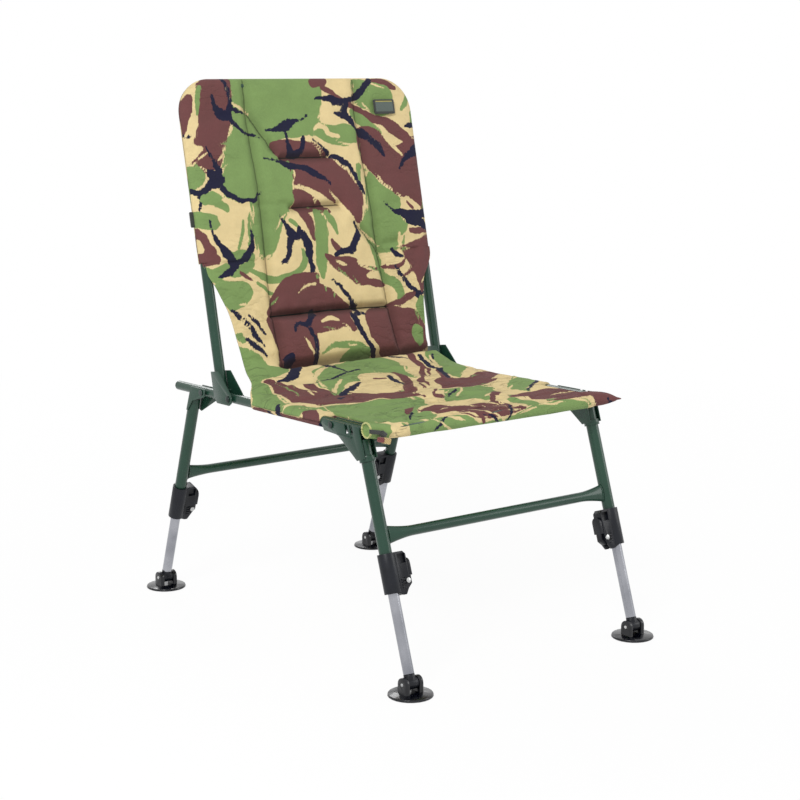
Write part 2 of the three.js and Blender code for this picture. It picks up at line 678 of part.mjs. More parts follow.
// A crossbar with ends pressed flat and flared against the legs.
function crossbar() {
  const reach = SIDE_X - LEG_R - CLEAR;
  const [end, middle] = [reach - LEG_BAR_TAPER / 3, reach - LEG_BAR_TAPER];
  const profile = [
    [0, -reach], [LEG_BAR_R, -reach], [LEG_BAR_R, -end], [LEG_BAR_R, -middle],
    [LEG_BAR_R, middle], [LEG_BAR_R, end], [LEG_BAR_R, reach], [0, reach],
  ];
  const bar = turned(profile, TUBE_SIDES).rotateY(Math.PI / 2);
  const { position } = bar.attributes;
  for (let i = 0; i < position.count; i++) {
    const flat = Math.max((Math.abs(position.getX(i)) - middle) / LEG_BAR_TAPER, 0) ** 1.6;
    position.setY(i, position.getY(i) * (1 + flat * (LEG_BAR_FLAT / LEG_BAR_R - 1)));
    position.setZ(i, position.getZ(i) * (1 + flat * (LEG_BAR_FLARE / LEG_BAR_R - 1)));
  }
  return bar;
}

// A clamp body round the end of an outer tube. Its top is at zero and its block faces +X.
function clampBody() {
  const slotTop = -CLAMP_LENGTH + SLOT_RISE;
  const foot = -CLAMP_LENGTH - BLOCK_LOW;
  const sleeve = rod(CLAMP_R, -CLAMP_LENGTH, 0, TUBE_SIDES);
  const housing = slab([
    [0, 0], [0, -CLAMP_LENGTH], [CLAMP_R, foot], [CLAMP_R + BLOCK_LOW, foot],
    [BLOCK_REACH, -PIN_DROP - PIN_INSET], [BLOCK_REACH, -BLOCK_CUT], [BLOCK_REACH - BLOCK_CUT, 0],
  ], BLOCK_HALF);
  const mouth = rod(LEG_R + CLEAR, slotTop, OVERRUN, TUBE_SIDES);
  const bore = rod(INNER_R + CLEAR, -CLAMP_LENGTH - OVERRUN, 0, TUBE_SIDES);
  const slot = block([0, -SLOT_HALF, foot - OVERRUN], [BLOCK_REACH + OVERRUN, SLOT_HALF, slotTop]);
  const pocket = block(
    [CLAMP_R, -BLOCK_HALF - OVERRUN, -POCKET_TOP - POCKET_HEIGHT],
    [BLOCK_REACH - SHEET, -BLOCK_HALF + POCKET_DEPTH, -POCKET_TOP]);
  const grooves = [1, 2, 3].map((count) => {
    const top = slotTop - SHEET - 3 * GROOVE * count;
    return block([CLAMP_R + GROOVE, -BLOCK_HALF - OVERRUN, top], [PIN_REACH - PIN_HEAD_R, GROOVE - BLOCK_HALF, top + GROOVE]);
  });
  const pinHole = rodY(PIN_R + CLEAR, -BLOCK_HALF - OVERRUN, BLOCK_HALF + OVERRUN, SMALL_SIDES);
  pinHole.translate(PIN_REACH, 0, -PIN_DROP);
  return cut(join(sleeve, housing), mouth, bore, slot, pocket, ...grooves, pinHole);
}

// The rivet that the lever turns on, along Y, centred on the origin.
function clampPin() {
  const half = BLOCK_HALF + CLEAR;
  const shank = rodY(PIN_R, -half - PIN_HEAD / 2, half + PIN_HEAD / 2, SMALL_SIDES);
  return join(
    shank, rodY(PIN_HEAD_R, -half - PIN_HEAD, -half, SMALL_SIDES), rodY(PIN_HEAD_R, half, half + PIN_HEAD, SMALL_SIDES));
}

// A clamp lever about its pin at the origin: a finger plate outside the block and a cam in its slot.
function clampLever() {
  const inner = PIN_INSET + CLEAR;
  const outer = inner + LEVER_THICK;
  const root = PIN_INSET + LEVER_THICK / 2;
  const top = PIN_DROP - LEVER_TOP;
  const finger = block([inner, -LEVER_HALF, root], [outer, LEVER_HALF, top - LEVER_HALF]);
  const tip = rodX(LEVER_HALF, inner, outer, TUBE_SIDES).translate(0, 0, top - LEVER_HALF);
  const cam = slab([
    [-CAM_R, CAM_R / 2], [-CAM_R, -CAM_R], [-CAM_R / 2, -CAM_NOSE], [CAM_R / 2, -CAM_NOSE],
    [outer, -CAM_R], [outer, root + SHEET], [inner, root + SHEET], [0, CAM_R],
  ], SLOT_HALF - CLEAR);
  const hole = rodY(PIN_R + CLEAR, -BLOCK_HALF, BLOCK_HALF, SMALL_SIDES);
  return cut(join(finger, tip, cam), hole);
}

// The moulded end of an inner tube, its pin at the origin and the tube above it.
function endPlug() {
  const seated = LUG_R + PLUG_COLLAR;
  const collar = rod(LUG_HALF, 0, seated, TUBE_SIDES);
  const spigot = rod(INNER_R - INNER_WALL - CLEAR, 0, seated + PLUG_LENGTH, TUBE_SIDES);
  const lug = rodX(LUG_R, -LUG_HALF, LUG_HALF, TUBE_SIDES);
  return cut(join(collar, spigot, lug), rodX(FOOT_PIN_R + CLEAR, -CHEEK_OUT, CHEEK_OUT, SMALL_SIDES));
}

// A foot, flat on the ground, with its origin at the pin.
function foot() {
  const ground = -FOOT_PIN_Z;
  const dish = turned([
    [0, ground], [FOOT_R - FOOT_RIM, ground], [FOOT_R, ground + FOOT_RIM],
    [FOOT_R - FOOT_RIM, ground + FOOT_DISC], [CHEEK_OUT + FOOT_RIM, ground + FOOT_DISC + FOOT_RIM],
    [0, ground + FOOT_DISC + FOOT_RIM],
  ], DISC_SIDES);
  const inner = LUG_HALF + 2 * CLEAR;
  const cheeks = SIDES.flatMap(([, way]) => {
    const [low, high] = [Math.min(way * inner, way * CHEEK_OUT), Math.max(way * inner, way * CHEEK_OUT)];
    return [
      rodX(CHEEK_R, low, high, TUBE_SIDES),
      block([low, -CHEEK_R, ground + FOOT_DISC / 2], [high, CHEEK_R, 0]),
    ];
  });
  const hole = rodX(FOOT_PIN_R + CLEAR, -CHEEK_OUT - OVERRUN, CHEEK_OUT + OVERRUN, SMALL_SIDES);
  return cut(join(dish, ...cheeks), hole);
}

function legPair(end, pivotY, footY, offset, clampZ, makeBracket) {
  const frame = legFrame(pivotY, footY, offset);
  const { footZ } = frame.userData;
  const clampTop = alongLeg(frame, offset, clampZ);
  const clampFoot = clampTop - CLAMP_LENGTH;
  const tubeTop = underRail(frame, offset + Math.sign(offset) * LEG_R, 2 * SHEET);
  const tubeFoot = clampFoot + SLOT_RISE + CLEAR;
  const innerFoot = footZ + LUG_R + PLUG_COLLAR + CLEAR;
  place(frame, `${end}_crossbar`, crossbar(), paint, 0, offset, clampTop + BAR_RISE);
  for (const [side, way] of SIDES) {
    const name = `${end}_${side}`;
    const x = way * SIDE_X;
    const pinX = x - way * PIN_REACH;
    const pinZ = clampTop - PIN_DROP;
    place(frame, `${name}_leg_tube`, pipe(LEG_R, LEG_R - LEG_WALL, tubeFoot, tubeTop), paint, x, offset);
    place(frame, `${name}_leg_bracket`, makeBracket(frame, tubeTop), paint, x).scale.x = way;
    place(frame, `${name}_clamp`, clampBody(), plastic, x, offset, clampTop).scale.x = -way;
    place(frame, `${name}_clamp_pin`, clampPin(), zinc, pinX, offset, pinZ);
    place(frame, `${name}_clamp_lever`, clampLever(), plastic, pinX, offset, pinZ).scale.x = -way;
    const inner = pipe(INNER_R, INNER_R - INNER_WALL, innerFoot, clampFoot + INSERTED);
    place(frame, `${name}_inner_tube`, inner, silver, x, offset);
    place(frame, `${name}_end_plug`, endPlug(), plastic, x, offset, footZ);
    const ankle = new THREE.Group();
    ankle.position.set(x, offset, footZ);
    ankle.rotation.x = SEAT_FALL - frame.rotation.x;
    frame.add(ankle);
    place(ankle, `${name}_foot`, foot(), rubber);
    place(ankle, `${name}_foot_pin`, rodX(FOOT_PIN_R, -CHEEK_OUT - CLEAR, CHEEK_OUT + CLEAR, SMALL_SIDES), zinc);
  }
}

seatFrame();
seatCover();
backTube();
backBrackets();
backCover();
lumbarCover();
legPair("front", FRONT_PIVOT_Y, -FOOT_Y, FRONT_OFFSET, FRONT_CLAMP_Z, frontBracket);
legPair("rear", REAR_PIVOT_Y, FOOT_Y, REAR_OFFSET, REAR_CLAMP_Z, rearBracket);

export default root;
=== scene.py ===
import math

import bmesh
import bpy
import numpy as np
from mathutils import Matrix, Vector


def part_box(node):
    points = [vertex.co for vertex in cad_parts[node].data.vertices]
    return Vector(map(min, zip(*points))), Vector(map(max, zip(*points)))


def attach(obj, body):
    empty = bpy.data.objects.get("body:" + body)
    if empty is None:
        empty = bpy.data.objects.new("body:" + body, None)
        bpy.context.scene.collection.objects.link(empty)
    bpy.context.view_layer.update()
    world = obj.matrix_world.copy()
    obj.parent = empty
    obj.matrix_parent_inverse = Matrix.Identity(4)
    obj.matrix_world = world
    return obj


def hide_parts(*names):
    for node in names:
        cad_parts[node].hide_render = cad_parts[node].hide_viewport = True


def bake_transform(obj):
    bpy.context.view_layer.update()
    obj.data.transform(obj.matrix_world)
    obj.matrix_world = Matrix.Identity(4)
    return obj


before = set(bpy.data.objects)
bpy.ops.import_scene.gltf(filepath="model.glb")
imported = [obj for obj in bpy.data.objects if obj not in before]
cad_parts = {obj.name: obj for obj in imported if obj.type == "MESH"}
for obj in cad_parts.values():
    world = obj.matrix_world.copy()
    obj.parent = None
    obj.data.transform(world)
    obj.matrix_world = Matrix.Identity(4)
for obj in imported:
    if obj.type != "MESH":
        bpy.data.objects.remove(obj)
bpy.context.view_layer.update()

# Millimetres in the tables below, metres in the scene.
MM = 0.001

# Camera
CAMERA_PLACE = (-1789.4, -2366.7, 919.0)
CAMERA_PITCH = 10.53
CAMERA_AZIMUTH = 37.47
CAMERA_LENS = 80.8
SENSOR = 36.0

# Frame of the chair
SIDE_X = 230.0
SEAT_HEIGHT = 380.0
SEAT_FALL = math.radians(0.75)
BACK_PIVOT_Y = 118.0
BACK_LEAN = math.radians(12.5)
BACK_OFFSET = 34.5
BACK_HEIGHT = 528.0
BACK_CORNER_R = 50.0
RAIL_R = 8.0
BACK_TUBE_R = 9.0
SEAT_CORNER_R = 40.0
FRONT_BAR_Y = -278.0
RAIL_BACK_Y = 296.0
TUBE_WALL = 1.2
TUBE_SIDES = 40
BEND_STEPS = 14
CORNER_STEPS = 6

# Crossbars: how much their pressed ends flare and thin, and the weld beads at the legs
BAR_R = 8
PRESSED = 46
FLARE = 6
PINCH = 3
WELD_TALL = 13.6
WELD_DEEP = 5.2
WELD_R = 1.1

# Ribs of a clamp: their places from its pin, and their size
RIB_BESIDE = 8.2
RIB_BEFORE = 9.2
RIB_RISES = (-9.5, -5.5, -1.5, 2.5)
RIB_SIZE = (6.4, 1.5)
RIB_THICK = 1.6
# How far the legs of each pair lean
LEG_TURNS = {"front": math.radians(17.506), "rear": -math.radians(19.074)}

# Copies of CAD nodes: points closer than this are joined, and so are faces that meet flatter than this
JOIN_DISTANCE = 0.01
FLAT_ANGLE = 1.5

# Angles over which edges shade sharp
TUBE_SHARP = 40
SLAB_SHARP = 50

# Cover
SLEEVE = 2.3
BACK_WRAP = BACK_TUBE_R + SLEEVE
SEAT_WRAP = RAIL_R + SLEEVE
HEM_ALONG = 230.0
SEAT_HEM_Y = 50.0
NOTCH_BACK_Y = -143.0
NOTCH_FRONT_Y = -251.0
NOTCH_HALF = 212.0
COLUMNS = 140
ROW_STEP = 3.4
EDGE_THICK = 3.0
# How thick the seat's cloth is between its tubes, before its padding
SEAT_THICK = 7.0
# How far the cloth's rolled edge beside a bracket reaches in
NOTCH_ROLL = 3.5
WRINKLE = 0.9

# Light
WHITE = (1.0, 1.0, 1.0, 1.0)
STUDIO_LIGHT = 0.54
FLOOR_NEAR = 0.93
FLOOR_HALF = 9000
FLOOR_Z = -0.5

scene = bpy.context.scene
scene.view_settings.view_transform = "Standard"


def srgb(red, green, blue):
    """A colour written as 0 to 255 in the scene's linear light."""
    parts = [c / 255 for c in (red, green, blue)]
    return tuple(c / 12.92 if c <= 0.04045 else ((c + 0.055) / 1.055) ** 2.4 for c in parts) + (1.0,)


def seat_point(x, y, z):
    """A place in the seat tubes' plane, in row millimetres."""
    cos, sin = math.cos(SEAT_FALL), math.sin(SEAT_FALL)
    return (x, y * cos + z * sin, SEAT_HEIGHT - y * sin + z * cos)


BACK_PIVOT = seat_point(0, BACK_PIVOT_Y, 0)


def back_point(x, y, z):
    """A place in the backrest's own frame, in row millimetres."""
    cos, sin = math.cos(BACK_LEAN), math.sin(BACK_LEAN)
    return (x, BACK_PIVOT[1] + y * cos + z * sin, BACK_PIVOT[2] - y * sin + z * cos)


# Materials


class Nodes:
    """Short ways to add and join the shader nodes of a new material or world."""

    def __init__(self, owner):
        owner.use_nodes = True
        self.owner = owner
        self.tree = owner.node_tree
        self.surface = self.tree.nodes.get("Principled BSDF")

    def add(self, kind, settings=None, **sockets):
        node = self.tree.nodes.new(kind)
        for key, value in (settings or {}).items():
            setattr(node, key, value)
        for key, value in sockets.items():
            self.feed(node, key.replace("_", " "), value)
        return node

    def feed(self, node, socket, value):
        target = node.inputs[int(socket)] if socket.isdigit() else node.inputs[socket]
        if isinstance(value, bpy.types.NodeSocket):
            self.tree.links.new(value, target)
        else:
            target.default_value = value

    def math(self, operation, a, b=0.0, c=0.0):
        node = self.tree.nodes.new("ShaderNodeMath")
        node.operation = operation
        for place, value in enumerate((a, b, c)):
            self.feed(node, str(place), value)
        return node.outputs[0]

    def mix(self, share, a, b, blend="MIX"):
        node = self.tree.nodes.new("ShaderNodeMix")
        node.data_type = "RGBA"
        node.blend_type = blend
        for place, value in ((0, share), (6, a), (7, b)):
            self.feed(node, str(place), value)
        return node.outputs[2]

    def ramp(self, value, low, high, start=0.0, end=1.0):
        node = self.add("ShaderNodeMapRange", Value=value)
        for place, number in ((1, low), (2, high), (3, start), (4, end)):
            node.inputs[place].default_value = number
        return node.outputs[0]

    def noise(self, vector, scale, detail=3.0, rough=0.55):
        node = self.add("ShaderNodeTexNoise", Vector=vector, Scale=scale, Detail=detail, Roughness=rough)
        return node.outputs[0]

    def stretch(self, vector, scale):
        return self.add("ShaderNodeMapping", Vector=vector, Scale=scale).outputs[0]

    def bump(self, height, distance, strength=1.0, normal=None):
        node = self.add("ShaderNodeBump", Height=height, Distance=distance, Strength=strength)
        if normal is not None:
            self.feed(node, "Normal", normal)
        return node.outputs[0]

    def object_place(self):
        return self.add("ShaderNodeTexCoord").outputs["Object"]

    def edges(self):
        """Over a half on outer edges."""
        return self.add("ShaderNodeNewGeometry").outputs["Pointiness"]

    def attribute(self, name, output="Fac"):
        return self.add("ShaderNodeAttribute", {"attribute_name": name}).outputs[output]

    def parts(self, name):
        """The three numbers of a vector attribute."""
        return self.add("ShaderNodeSeparateXYZ", Vector=self.attribute(name, "Vector")).outputs

    def wave(self, vector, scale, way, distortion=0.0):
        settings = {"bands_direction": way}
        node = self.add("ShaderNodeTexWave", settings, Vector=vector, Scale=scale, Distortion=distortion)
        return node.outputs[1]

    def seen(self):
        """1 for rays from the camera, off shiny surfaces and through clear ones, 0 for those that light."""
        light = self.add("ShaderNodeLightPath").outputs
        glance = self.math("MAXIMUM", light["Is Camera Ray"], light["Is Glossy Ray"])
        return self.math("MAXIMUM", glance, light["Is Transmission Ray"])

    def mix_shaders(self, share, a, b):
        node = self.add("ShaderNodeMixShader")
        for place, value in enumerate((share, a, b)):
            self.feed(node, str(place), value)
        return node.outputs[0]

    def set(self, **sockets):
        for key, value in sockets.items():
            self.feed(self.surface, key.replace("_", " "), value)


def new_nodes(name):
    return Nodes(bpy.data.materials.new(name))


def paint_material():
    """Dark green powder coat under a glossy skin, a little worn on its edges."""
    n = new_nodes("green_paint")
    place = n.object_place()
    cloudy = n.noise(place, 7.0, 3.0)
    speck = n.noise(place, 1100.0, 2.0)
    base = n.mix(n.ramp(cloudy, 0.35, 0.68), srgb(26, 58, 45), srgb(34, 68, 53))
    base = n.mix(n.ramp(speck, 0.66, 0.78, 0.0, 0.22), base, srgb(66, 104, 86))
    patchy = n.ramp(n.noise(place, 160.0, 5.0), 0.52, 0.66, 0.0, 0.4)
    worn = n.math("MULTIPLY", n.ramp(n.edges(), 0.55, 0.64), patchy)
    base = n.mix(worn, base, srgb(120, 142, 130))
    rough = n.ramp(n.noise(place, 60.0, 4.0), 0.3, 0.7, 0.22, 0.3)
    n.set(Base_Color=base, Roughness=rough, Specular_IOR_Level=0.3)
    n.set(Coat_Weight=0.35, Coat_Roughness=0.1, Coat_IOR=1.35)
    n.set(Normal=n.bump(n.noise(place, 300.0, 3.0), 0.00012, 0.3))
    return n.owner


def metal_material(name, dark, light, roughness, grain, metallic=0.85):
    """Bare metal with faint fine lines."""
    n = new_nodes(name)
    place = n.object_place()
    lines = n.noise(n.stretch(place, (grain, grain, grain)), 1.0, 3.0, 0.5)
    cloudy = n.noise(place, 12.0, 3.0)
    base = n.mix(n.ramp(cloudy, 0.3, 0.7), dark, light)
    base = n.mix(n.ramp(lines, 0.35, 0.75, 0.0, 0.18), base, dark)
    rough = n.ramp(lines, 0.3, 0.7, roughness - 0.03, roughness + 0.04)
    n.set(Base_Color=base, Roughness=rough, Metallic=metallic)
    n.set(Normal=n.bump(lines, 0.00003, 0.2))
    return n.owner


def plastic_material(name, dark, light, low, high, grain, coat=0.0):
    """Moulded plastic with a fine skin and slight wear."""
    n = new_nodes(name)
    place = n.object_place()
    skin = n.noise(place, grain, 2.0)
    cloudy = n.noise(place, 40.0, 5.0)
    base = n.mix(n.ramp(cloudy, 0.35, 0.7), dark, light)
    base = n.mix(n.ramp(n.edges(), 0.53, 0.64, 0.0, 0.3), base, srgb(62, 65, 72))
    n.set(Base_Color=base, Roughness=n.ramp(cloudy, 0.3, 0.7, low, high), Specular_IOR_Level=0.28)
    n.set(Coat_Weight=coat, Coat_Roughness=0.08)
    n.set(Normal=n.bump(skin, 0.0003, 0.3))
    return n.owner


def crease_lines(n, place, stretch, scale, loose):
    """Short thin creases that wander across loose cloth, from 0 to 1, for bumps and for painted shade."""
    wander = n.noise(n.stretch(place, stretch), scale, 3.0, 0.5)
    away = n.math("ABSOLUTE", n.math("SUBTRACT", wander, 0.5))
    here = n.ramp(n.noise(place, scale * 0.7, 2.0), 0.47, 0.6)
    return n.math("MULTIPLY", n.math("MULTIPLY", n.ramp(away, 0.055, 0.0), here), loose)


def cloth_surface(n, base, place, creased):
    """Adds a plain weave, fibre variation and sheen over a base colour and creases."""
    weave = n.math("ADD", n.wave(place, 260.0, "X", 0.4), n.wave(place, 260.0, "Y", 0.4))
    fibre = n.noise(n.stretch(place, (1.0, 0.25, 1.0)), 900.0, 2.0)
    base = n.mix(n.ramp(fibre, 0.3, 0.72, 0.0, 0.16), base, (0.9, 0.92, 0.85, 1.0), "OVERLAY")
    soft = n.noise(place, 26.0, 4.0)
    base = n.mix(n.ramp(soft, 0.4, 0.8, 0.0, 0.14), base, (0.05, 0.06, 0.04, 1.0))
    crumple = n.noise(n.stretch(place, (1.0, 0.7, 1.0)), 42.0, 5.0, 0.5)
    normal = n.bump(crumple, 0.003, 0.5, creased)
    normal = n.bump(weave, 0.00022, 0.5, normal)
    n.set(Base_Color=base, Roughness=0.88, Normal=normal)
    n.set(Sheen_Weight=0.05, Sheen_Roughness=0.5, Specular_IOR_Level=0.08)


TAN = srgb(228, 204, 152)
GREEN = srgb(125, 151, 93)
BROWN = srgb(110, 70, 70)
BLACK = srgb(36, 36, 58)
# Each ink with its colour, the angle that its bristles run at and how torn its edges are.
INKS = (("green_ink", GREEN, 25.0, 0.45), ("brown_ink", BROWN, -38.0, 0.45), ("black_ink", BLACK, 10.0, 1.35))


def camo_material():
    """Four-colour brushed camouflage print, with painted shade along its seams and in its creases. Distance
    fields on the mesh carry its brush strokes and seams.
    """
    n = new_nodes("camouflage_cloth")
    place = n.attribute("cloth", "Vector")
    knots = n.ramp(n.noise(place, 135.0, 3.0, 0.6), 0.28, 0.72, -0.0014, 0.0014)
    frayed = n.ramp(n.noise(place, 620.0, 3.0, 0.6), 0.25, 0.75, -0.0004, 0.0004)
    brushed = n.ramp(n.noise(place, 14.0, 2.0), 0.46, 0.62, 0.25, 1.2)
    colour = TAN
    for name, ink, angle, torn in INKS:
        field = n.attribute(name)
        combing = (0.0, 0.0, math.radians(angle))
        turned = n.add("ShaderNodeMapping", Vector=place, Rotation=combing, Scale=(760.0, 85.0, 1.0))
        bristles = n.ramp(n.noise(turned.outputs[0], 1.0, 3.0, 0.55), 0.28, 0.72, -0.0016, 0.0016)
        combed = n.math("MULTIPLY", bristles, brushed)
        shift = n.math("ADD", n.math("MULTIPLY", knots, torn), n.math("ADD", frayed, combed))
        edge = n.math("ADD", field, shift)
        colour = n.mix(n.ramp(edge, 0.0003, -0.0003), colour, ink)
        dry = n.math("MULTIPLY", n.ramp(edge, -0.0035, -0.0008), n.ramp(combed, 0.0009, 0.0012))
        colour = n.mix(n.math("MULTIPLY", dry, n.ramp(edge, 0.0003, -0.0003, 0.0, 0.4)), colour, TAN)
    # Painted shade along the seams: a thin dark line for the shadow in each groove, and a wider soft
    # darkening beside it, weighted by the way each seam runs and by how deep it is.
    seam_shadow_line = shade = None
    for line, shade_strength, deep in zip(n.parts("seams"), n.parts("seam_shading"), (0.5, 1.0, 0.6)):
        away = n.math("ABSOLUTE", line)
        thin = n.math("MULTIPLY", n.ramp(away, 0.0017, 0.0006, 0.0, 0.3 + 0.7 * deep), shade_strength)
        wide = n.math("MULTIPLY", n.ramp(away, 0.014, 0.001, 0.0, deep), shade_strength)
        seam_shadow_line = thin if seam_shadow_line is None else n.math("MAXIMUM", seam_shadow_line, thin)
        shade = wide if shade is None else n.math("MAXIMUM", shade, wide)
    loose = n.attribute("loose")
    creases = crease_lines(n, place, (1.0, 1.9, 1.0), 13.0, loose)
    creases = n.math("MAXIMUM", creases, crease_lines(n, place, (1.5, 3.4, 1.0), 17.0, loose))
    # Painted shade in the creases of the loose cloth; the same creases are also bumped.
    colour = n.mix(n.math("MULTIPLY", creases, 0.09), colour, (0.02, 0.02, 0.015, 1.0))
    # Painted shade beside the seams, then a thin painted shadow line along each seam's groove.
    colour = n.mix(n.math("MULTIPLY", shade, 0.42), colour, (0.03, 0.02, 0.015, 1.0))
    colour = n.mix(n.math("MULTIPLY", seam_shadow_line, 0.78), colour, (0.012, 0.014, 0.012, 1.0))
    cloth_surface(n, colour, place, n.bump(creases, -0.0024, 0.8))
    return n.owner


def webbing_material(name, dark, light):
    """Ribbed woven tape."""
    n = new_nodes(name)
    place = n.object_place()
    ribs = n.wave(place, 180.0, "DIAGONAL")
    base = n.mix(n.ramp(ribs, 0.2, 0.8), dark, light)
    n.set(Base_Color=base, Roughness=0.75, Sheen_Weight=0.3, Normal=n.bump(ribs, 0.0003, 0.6))
    return n.owner


PAINT = paint_material()
SILVER = metal_material("satin_aluminium", srgb(132, 134, 141), srgb(182, 183, 189), 0.22, 260.0)
ZINC = metal_material("zinc_plate", srgb(165, 167, 168), srgb(215, 215, 212), 0.3, 300.0)
PLASTIC = plastic_material("black_plastic", srgb(10, 12, 18), srgb(20, 23, 31), 0.26, 0.4, 1100.0)
LEVER = plastic_material("lever_plastic", srgb(9, 10, 15), srgb(22, 24, 31), 0.24, 0.34, 900.0)
GLOSS = plastic_material("gloss_plastic", srgb(4, 5, 11), srgb(10, 12, 20), 0.16, 0.26, 500.0, 0.3)
BOLT = metal_material("dark_bolt", srgb(46, 54, 52), srgb(84, 92, 90), 0.34, 300.0, 0.7)
CAMO = camo_material()
EDGING = webbing_material("dark_webbing", srgb(26, 28, 26), srgb(52, 56, 50))
BADGE_FACE = webbing_material("label_weave", srgb(58, 70, 66), srgb(96, 108, 100))
PIPING = webbing_material("label_line", srgb(150, 140, 62), srgb(190, 178, 90))
BINDING = webbing_material("sleeve_binding", srgb(150, 158, 88), srgb(206, 202, 132))
KNOT = webbing_material("strap_knot_weave", srgb(84, 30, 34), srgb(140, 66, 62))
TIP = webbing_material("strap_tip_weave", srgb(158, 126, 74), srgb(212, 190, 132))


# Meshes


def link_object(name, data):
    made = bpy.data.objects.new(name, data)
    scene.collection.objects.link(made)
    return made


def make_object(name, vertices, faces, material, sharp=None):
    """A mesh object from points in millimetres. Edges bent by more than the sharp angle shade sharp."""
    mesh = bpy.data.meshes.new(name)
    mesh.from_pydata([tuple(c * MM for c in v) for v in vertices], [], faces)
    mesh.validate()
    finish_mesh(mesh, material, sharp)
    return link_object(name, mesh)


def finish_mesh(mesh, material, sharp=None):
    mesh.materials.clear()
    mesh.materials.append(material)
    mesh.polygons.foreach_set("use_smooth", [True] * len(mesh.polygons))
    if sharp is not None:
        mesh.set_sharp_from_angle(angle=math.radians(sharp))
    mesh.update()


def keep_modifiers(piece):
    """Turns what a piece's modifiers show into its own mesh."""
    graph = bpy.context.evaluated_depsgraph_get()
    final = bpy.data.meshes.new_from_object(piece.evaluated_get(graph))
    piece.modifiers.clear()
    piece.data = final
    return final


def tube_points(path, radii, sides):
    """The points of rings round a path, each ring with its own radius."""
    path = [Vector(p) for p in path]
    last = len(path) - 1
    steps = [(path[min(i + 1, last)] - path[max(i - 1, 0)]).normalized() for i in range(len(path))]
    side = steps[0].orthogonal().normalized()
    vertices = []
    for centre, along, radius in zip(path, steps, radii):
        side = (side - along * side.dot(along)).normalized()
        other = along.cross(side)
        for k in range(sides):
            turn = 2 * math.pi * k / sides
            vertices.append(centre + (side * math.cos(turn) + other * math.sin(turn)) * radius)
    return vertices


def ring_edges(rings, sides):
    """The edges of all rings but the last, each as the numbers of its two points."""
    for start in range(0, (rings - 1) * sides, sides):
        for k in range(sides):
            yield start + k, start + (k + 1) % sides


def end_faces(rings, sides):
    """The faces that close the first ring and the last."""
    return [tuple(reversed(range(sides))), tuple(range((rings - 1) * sides, rings * sides))]


def outer_faces(rings, sides):
    """The faces between rings and over their ends, as seen from outside."""
    return [(a, b, b + sides, a + sides) for a, b in ring_edges(rings, sides)] + end_faces(rings, sides)


def sweep(path, radii, sides):
    """A solid bar along a path. Returns points and faces."""
    return tube_points(path, radii, sides), outer_faces(len(path), sides)


def open_tube(path, outer):
    """A tube with a wall: out along the outside and back along the inside, its mouths rounded."""
    path = [Vector(p) for p in path]
    lip = TUBE_WALL / 3
    start = (path[1] - path[0]).normalized() * lip
    end = (path[-1] - path[-2]).normalized() * lip
    out = [path[0], path[0] + start, *path[1:-1], path[-1] - end, path[-1]]
    radii = [outer - lip] + [outer] * (len(out) - 2) + [outer - lip]
    bore = [outer - TUBE_WALL] * len(out)
    sides = TUBE_SIDES
    vertices = tube_points(out, radii, sides) + tube_points(out, bore, sides)
    inner = len(out) * sides
    last = inner - sides
    faces = []
    for a, b in ring_edges(len(out), sides):
        faces.append((a, b, b + sides, a + sides))
        faces.append((b + inner, a + inner, a + inner + sides, b + inner + sides))
    for k in range(sides):
        a, b = k, (k + 1) % sides
        faces.append((b, a, a + inner, b + inner))
        faces.append((a + last, b + last, b + last + inner, a + last + inner))
    return vertices, faces


def bend(across, open_end, closed_end, radius, to_point):
    """Points of a U with two round corners, in row millimetres."""
    way = math.copysign(1, closed_end - open_end)
    corner = []
    for step in range(BEND_STEPS + 1):
        turn = step / BEND_STEPS * math.pi / 2
        in_x, in_along = radius * (1 - math.cos(turn)), radius * (1 - math.sin(turn))
        corner.append((across - in_x, closed_end - way * in_along))
    half = [(across, open_end), *corner]
    other = [(-x, along) for x, along in reversed(half)]
    return [to_point(x, along) for x, along in half + other]


def cad_points(node):
    """A CAD node's points in millimetres."""
    return np.array([v.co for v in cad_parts[node].data.vertices], float) / MM


def settle(piece, body):
    """Gives a piece the body that it moves with."""
    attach(piece, body)
    return piece


def stand_for(piece, node, body):
    """Puts a piece in the place of a CAD node."""
    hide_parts(node)
    return settle(piece, body)


def refined(node, body, material, bevel=0.5, sharp=32):
    """A copy of a CAD node with rounded edges and smooth shading, which stands for it."""
    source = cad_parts[node].data
    work = bmesh.new()
    work.from_mesh(source)
    bmesh.ops.remove_doubles(work, verts=work.verts, dist=JOIN_DISTANCE * MM)
    flat = math.radians(FLAT_ANGLE)
    bmesh.ops.dissolve_limit(work, angle_limit=flat, verts=work.verts, edges=work.edges)
    mesh = bpy.data.meshes.new(node + "_part")
    work.to_mesh(mesh)
    work.free()
    piece = link_object(node + "_part", mesh)
    rounded = piece.modifiers.new("edges", "BEVEL")
    rounded.width = bevel * MM
    rounded.segments = 2
    rounded.limit_method = "ANGLE"
    rounded.angle_limit = math.radians(sharp)
    rounded.harden_normals = False
    final = keep_modifiers(piece)
    final.name = node + "_part"
    finish_mesh(final, material, sharp)
    return stand_for(piece, node, body)


def straight_tube(node, body, material):
    """A round tube in the place of a straight CAD tube, found from its own points."""
    points = cad_points(node)
    centre = points.mean(0)
    _, _, axes = np.linalg.svd(points - centre, full_matrices=False)
    along = axes[0] if axes[0][2] > 0 else -axes[0]
    places = (points - centre) @ along
    radial = np.linalg.norm((points - centre) - np.outer(places, along), axis=1)
    low, high = centre + along * places.min(), centre + along * places.max()
    tube = open_tube([low, (low + high) / 2, high], radial.max())
    return stand_for(make_object(node + "_part", *tube, material, TUBE_SHARP), node, body)


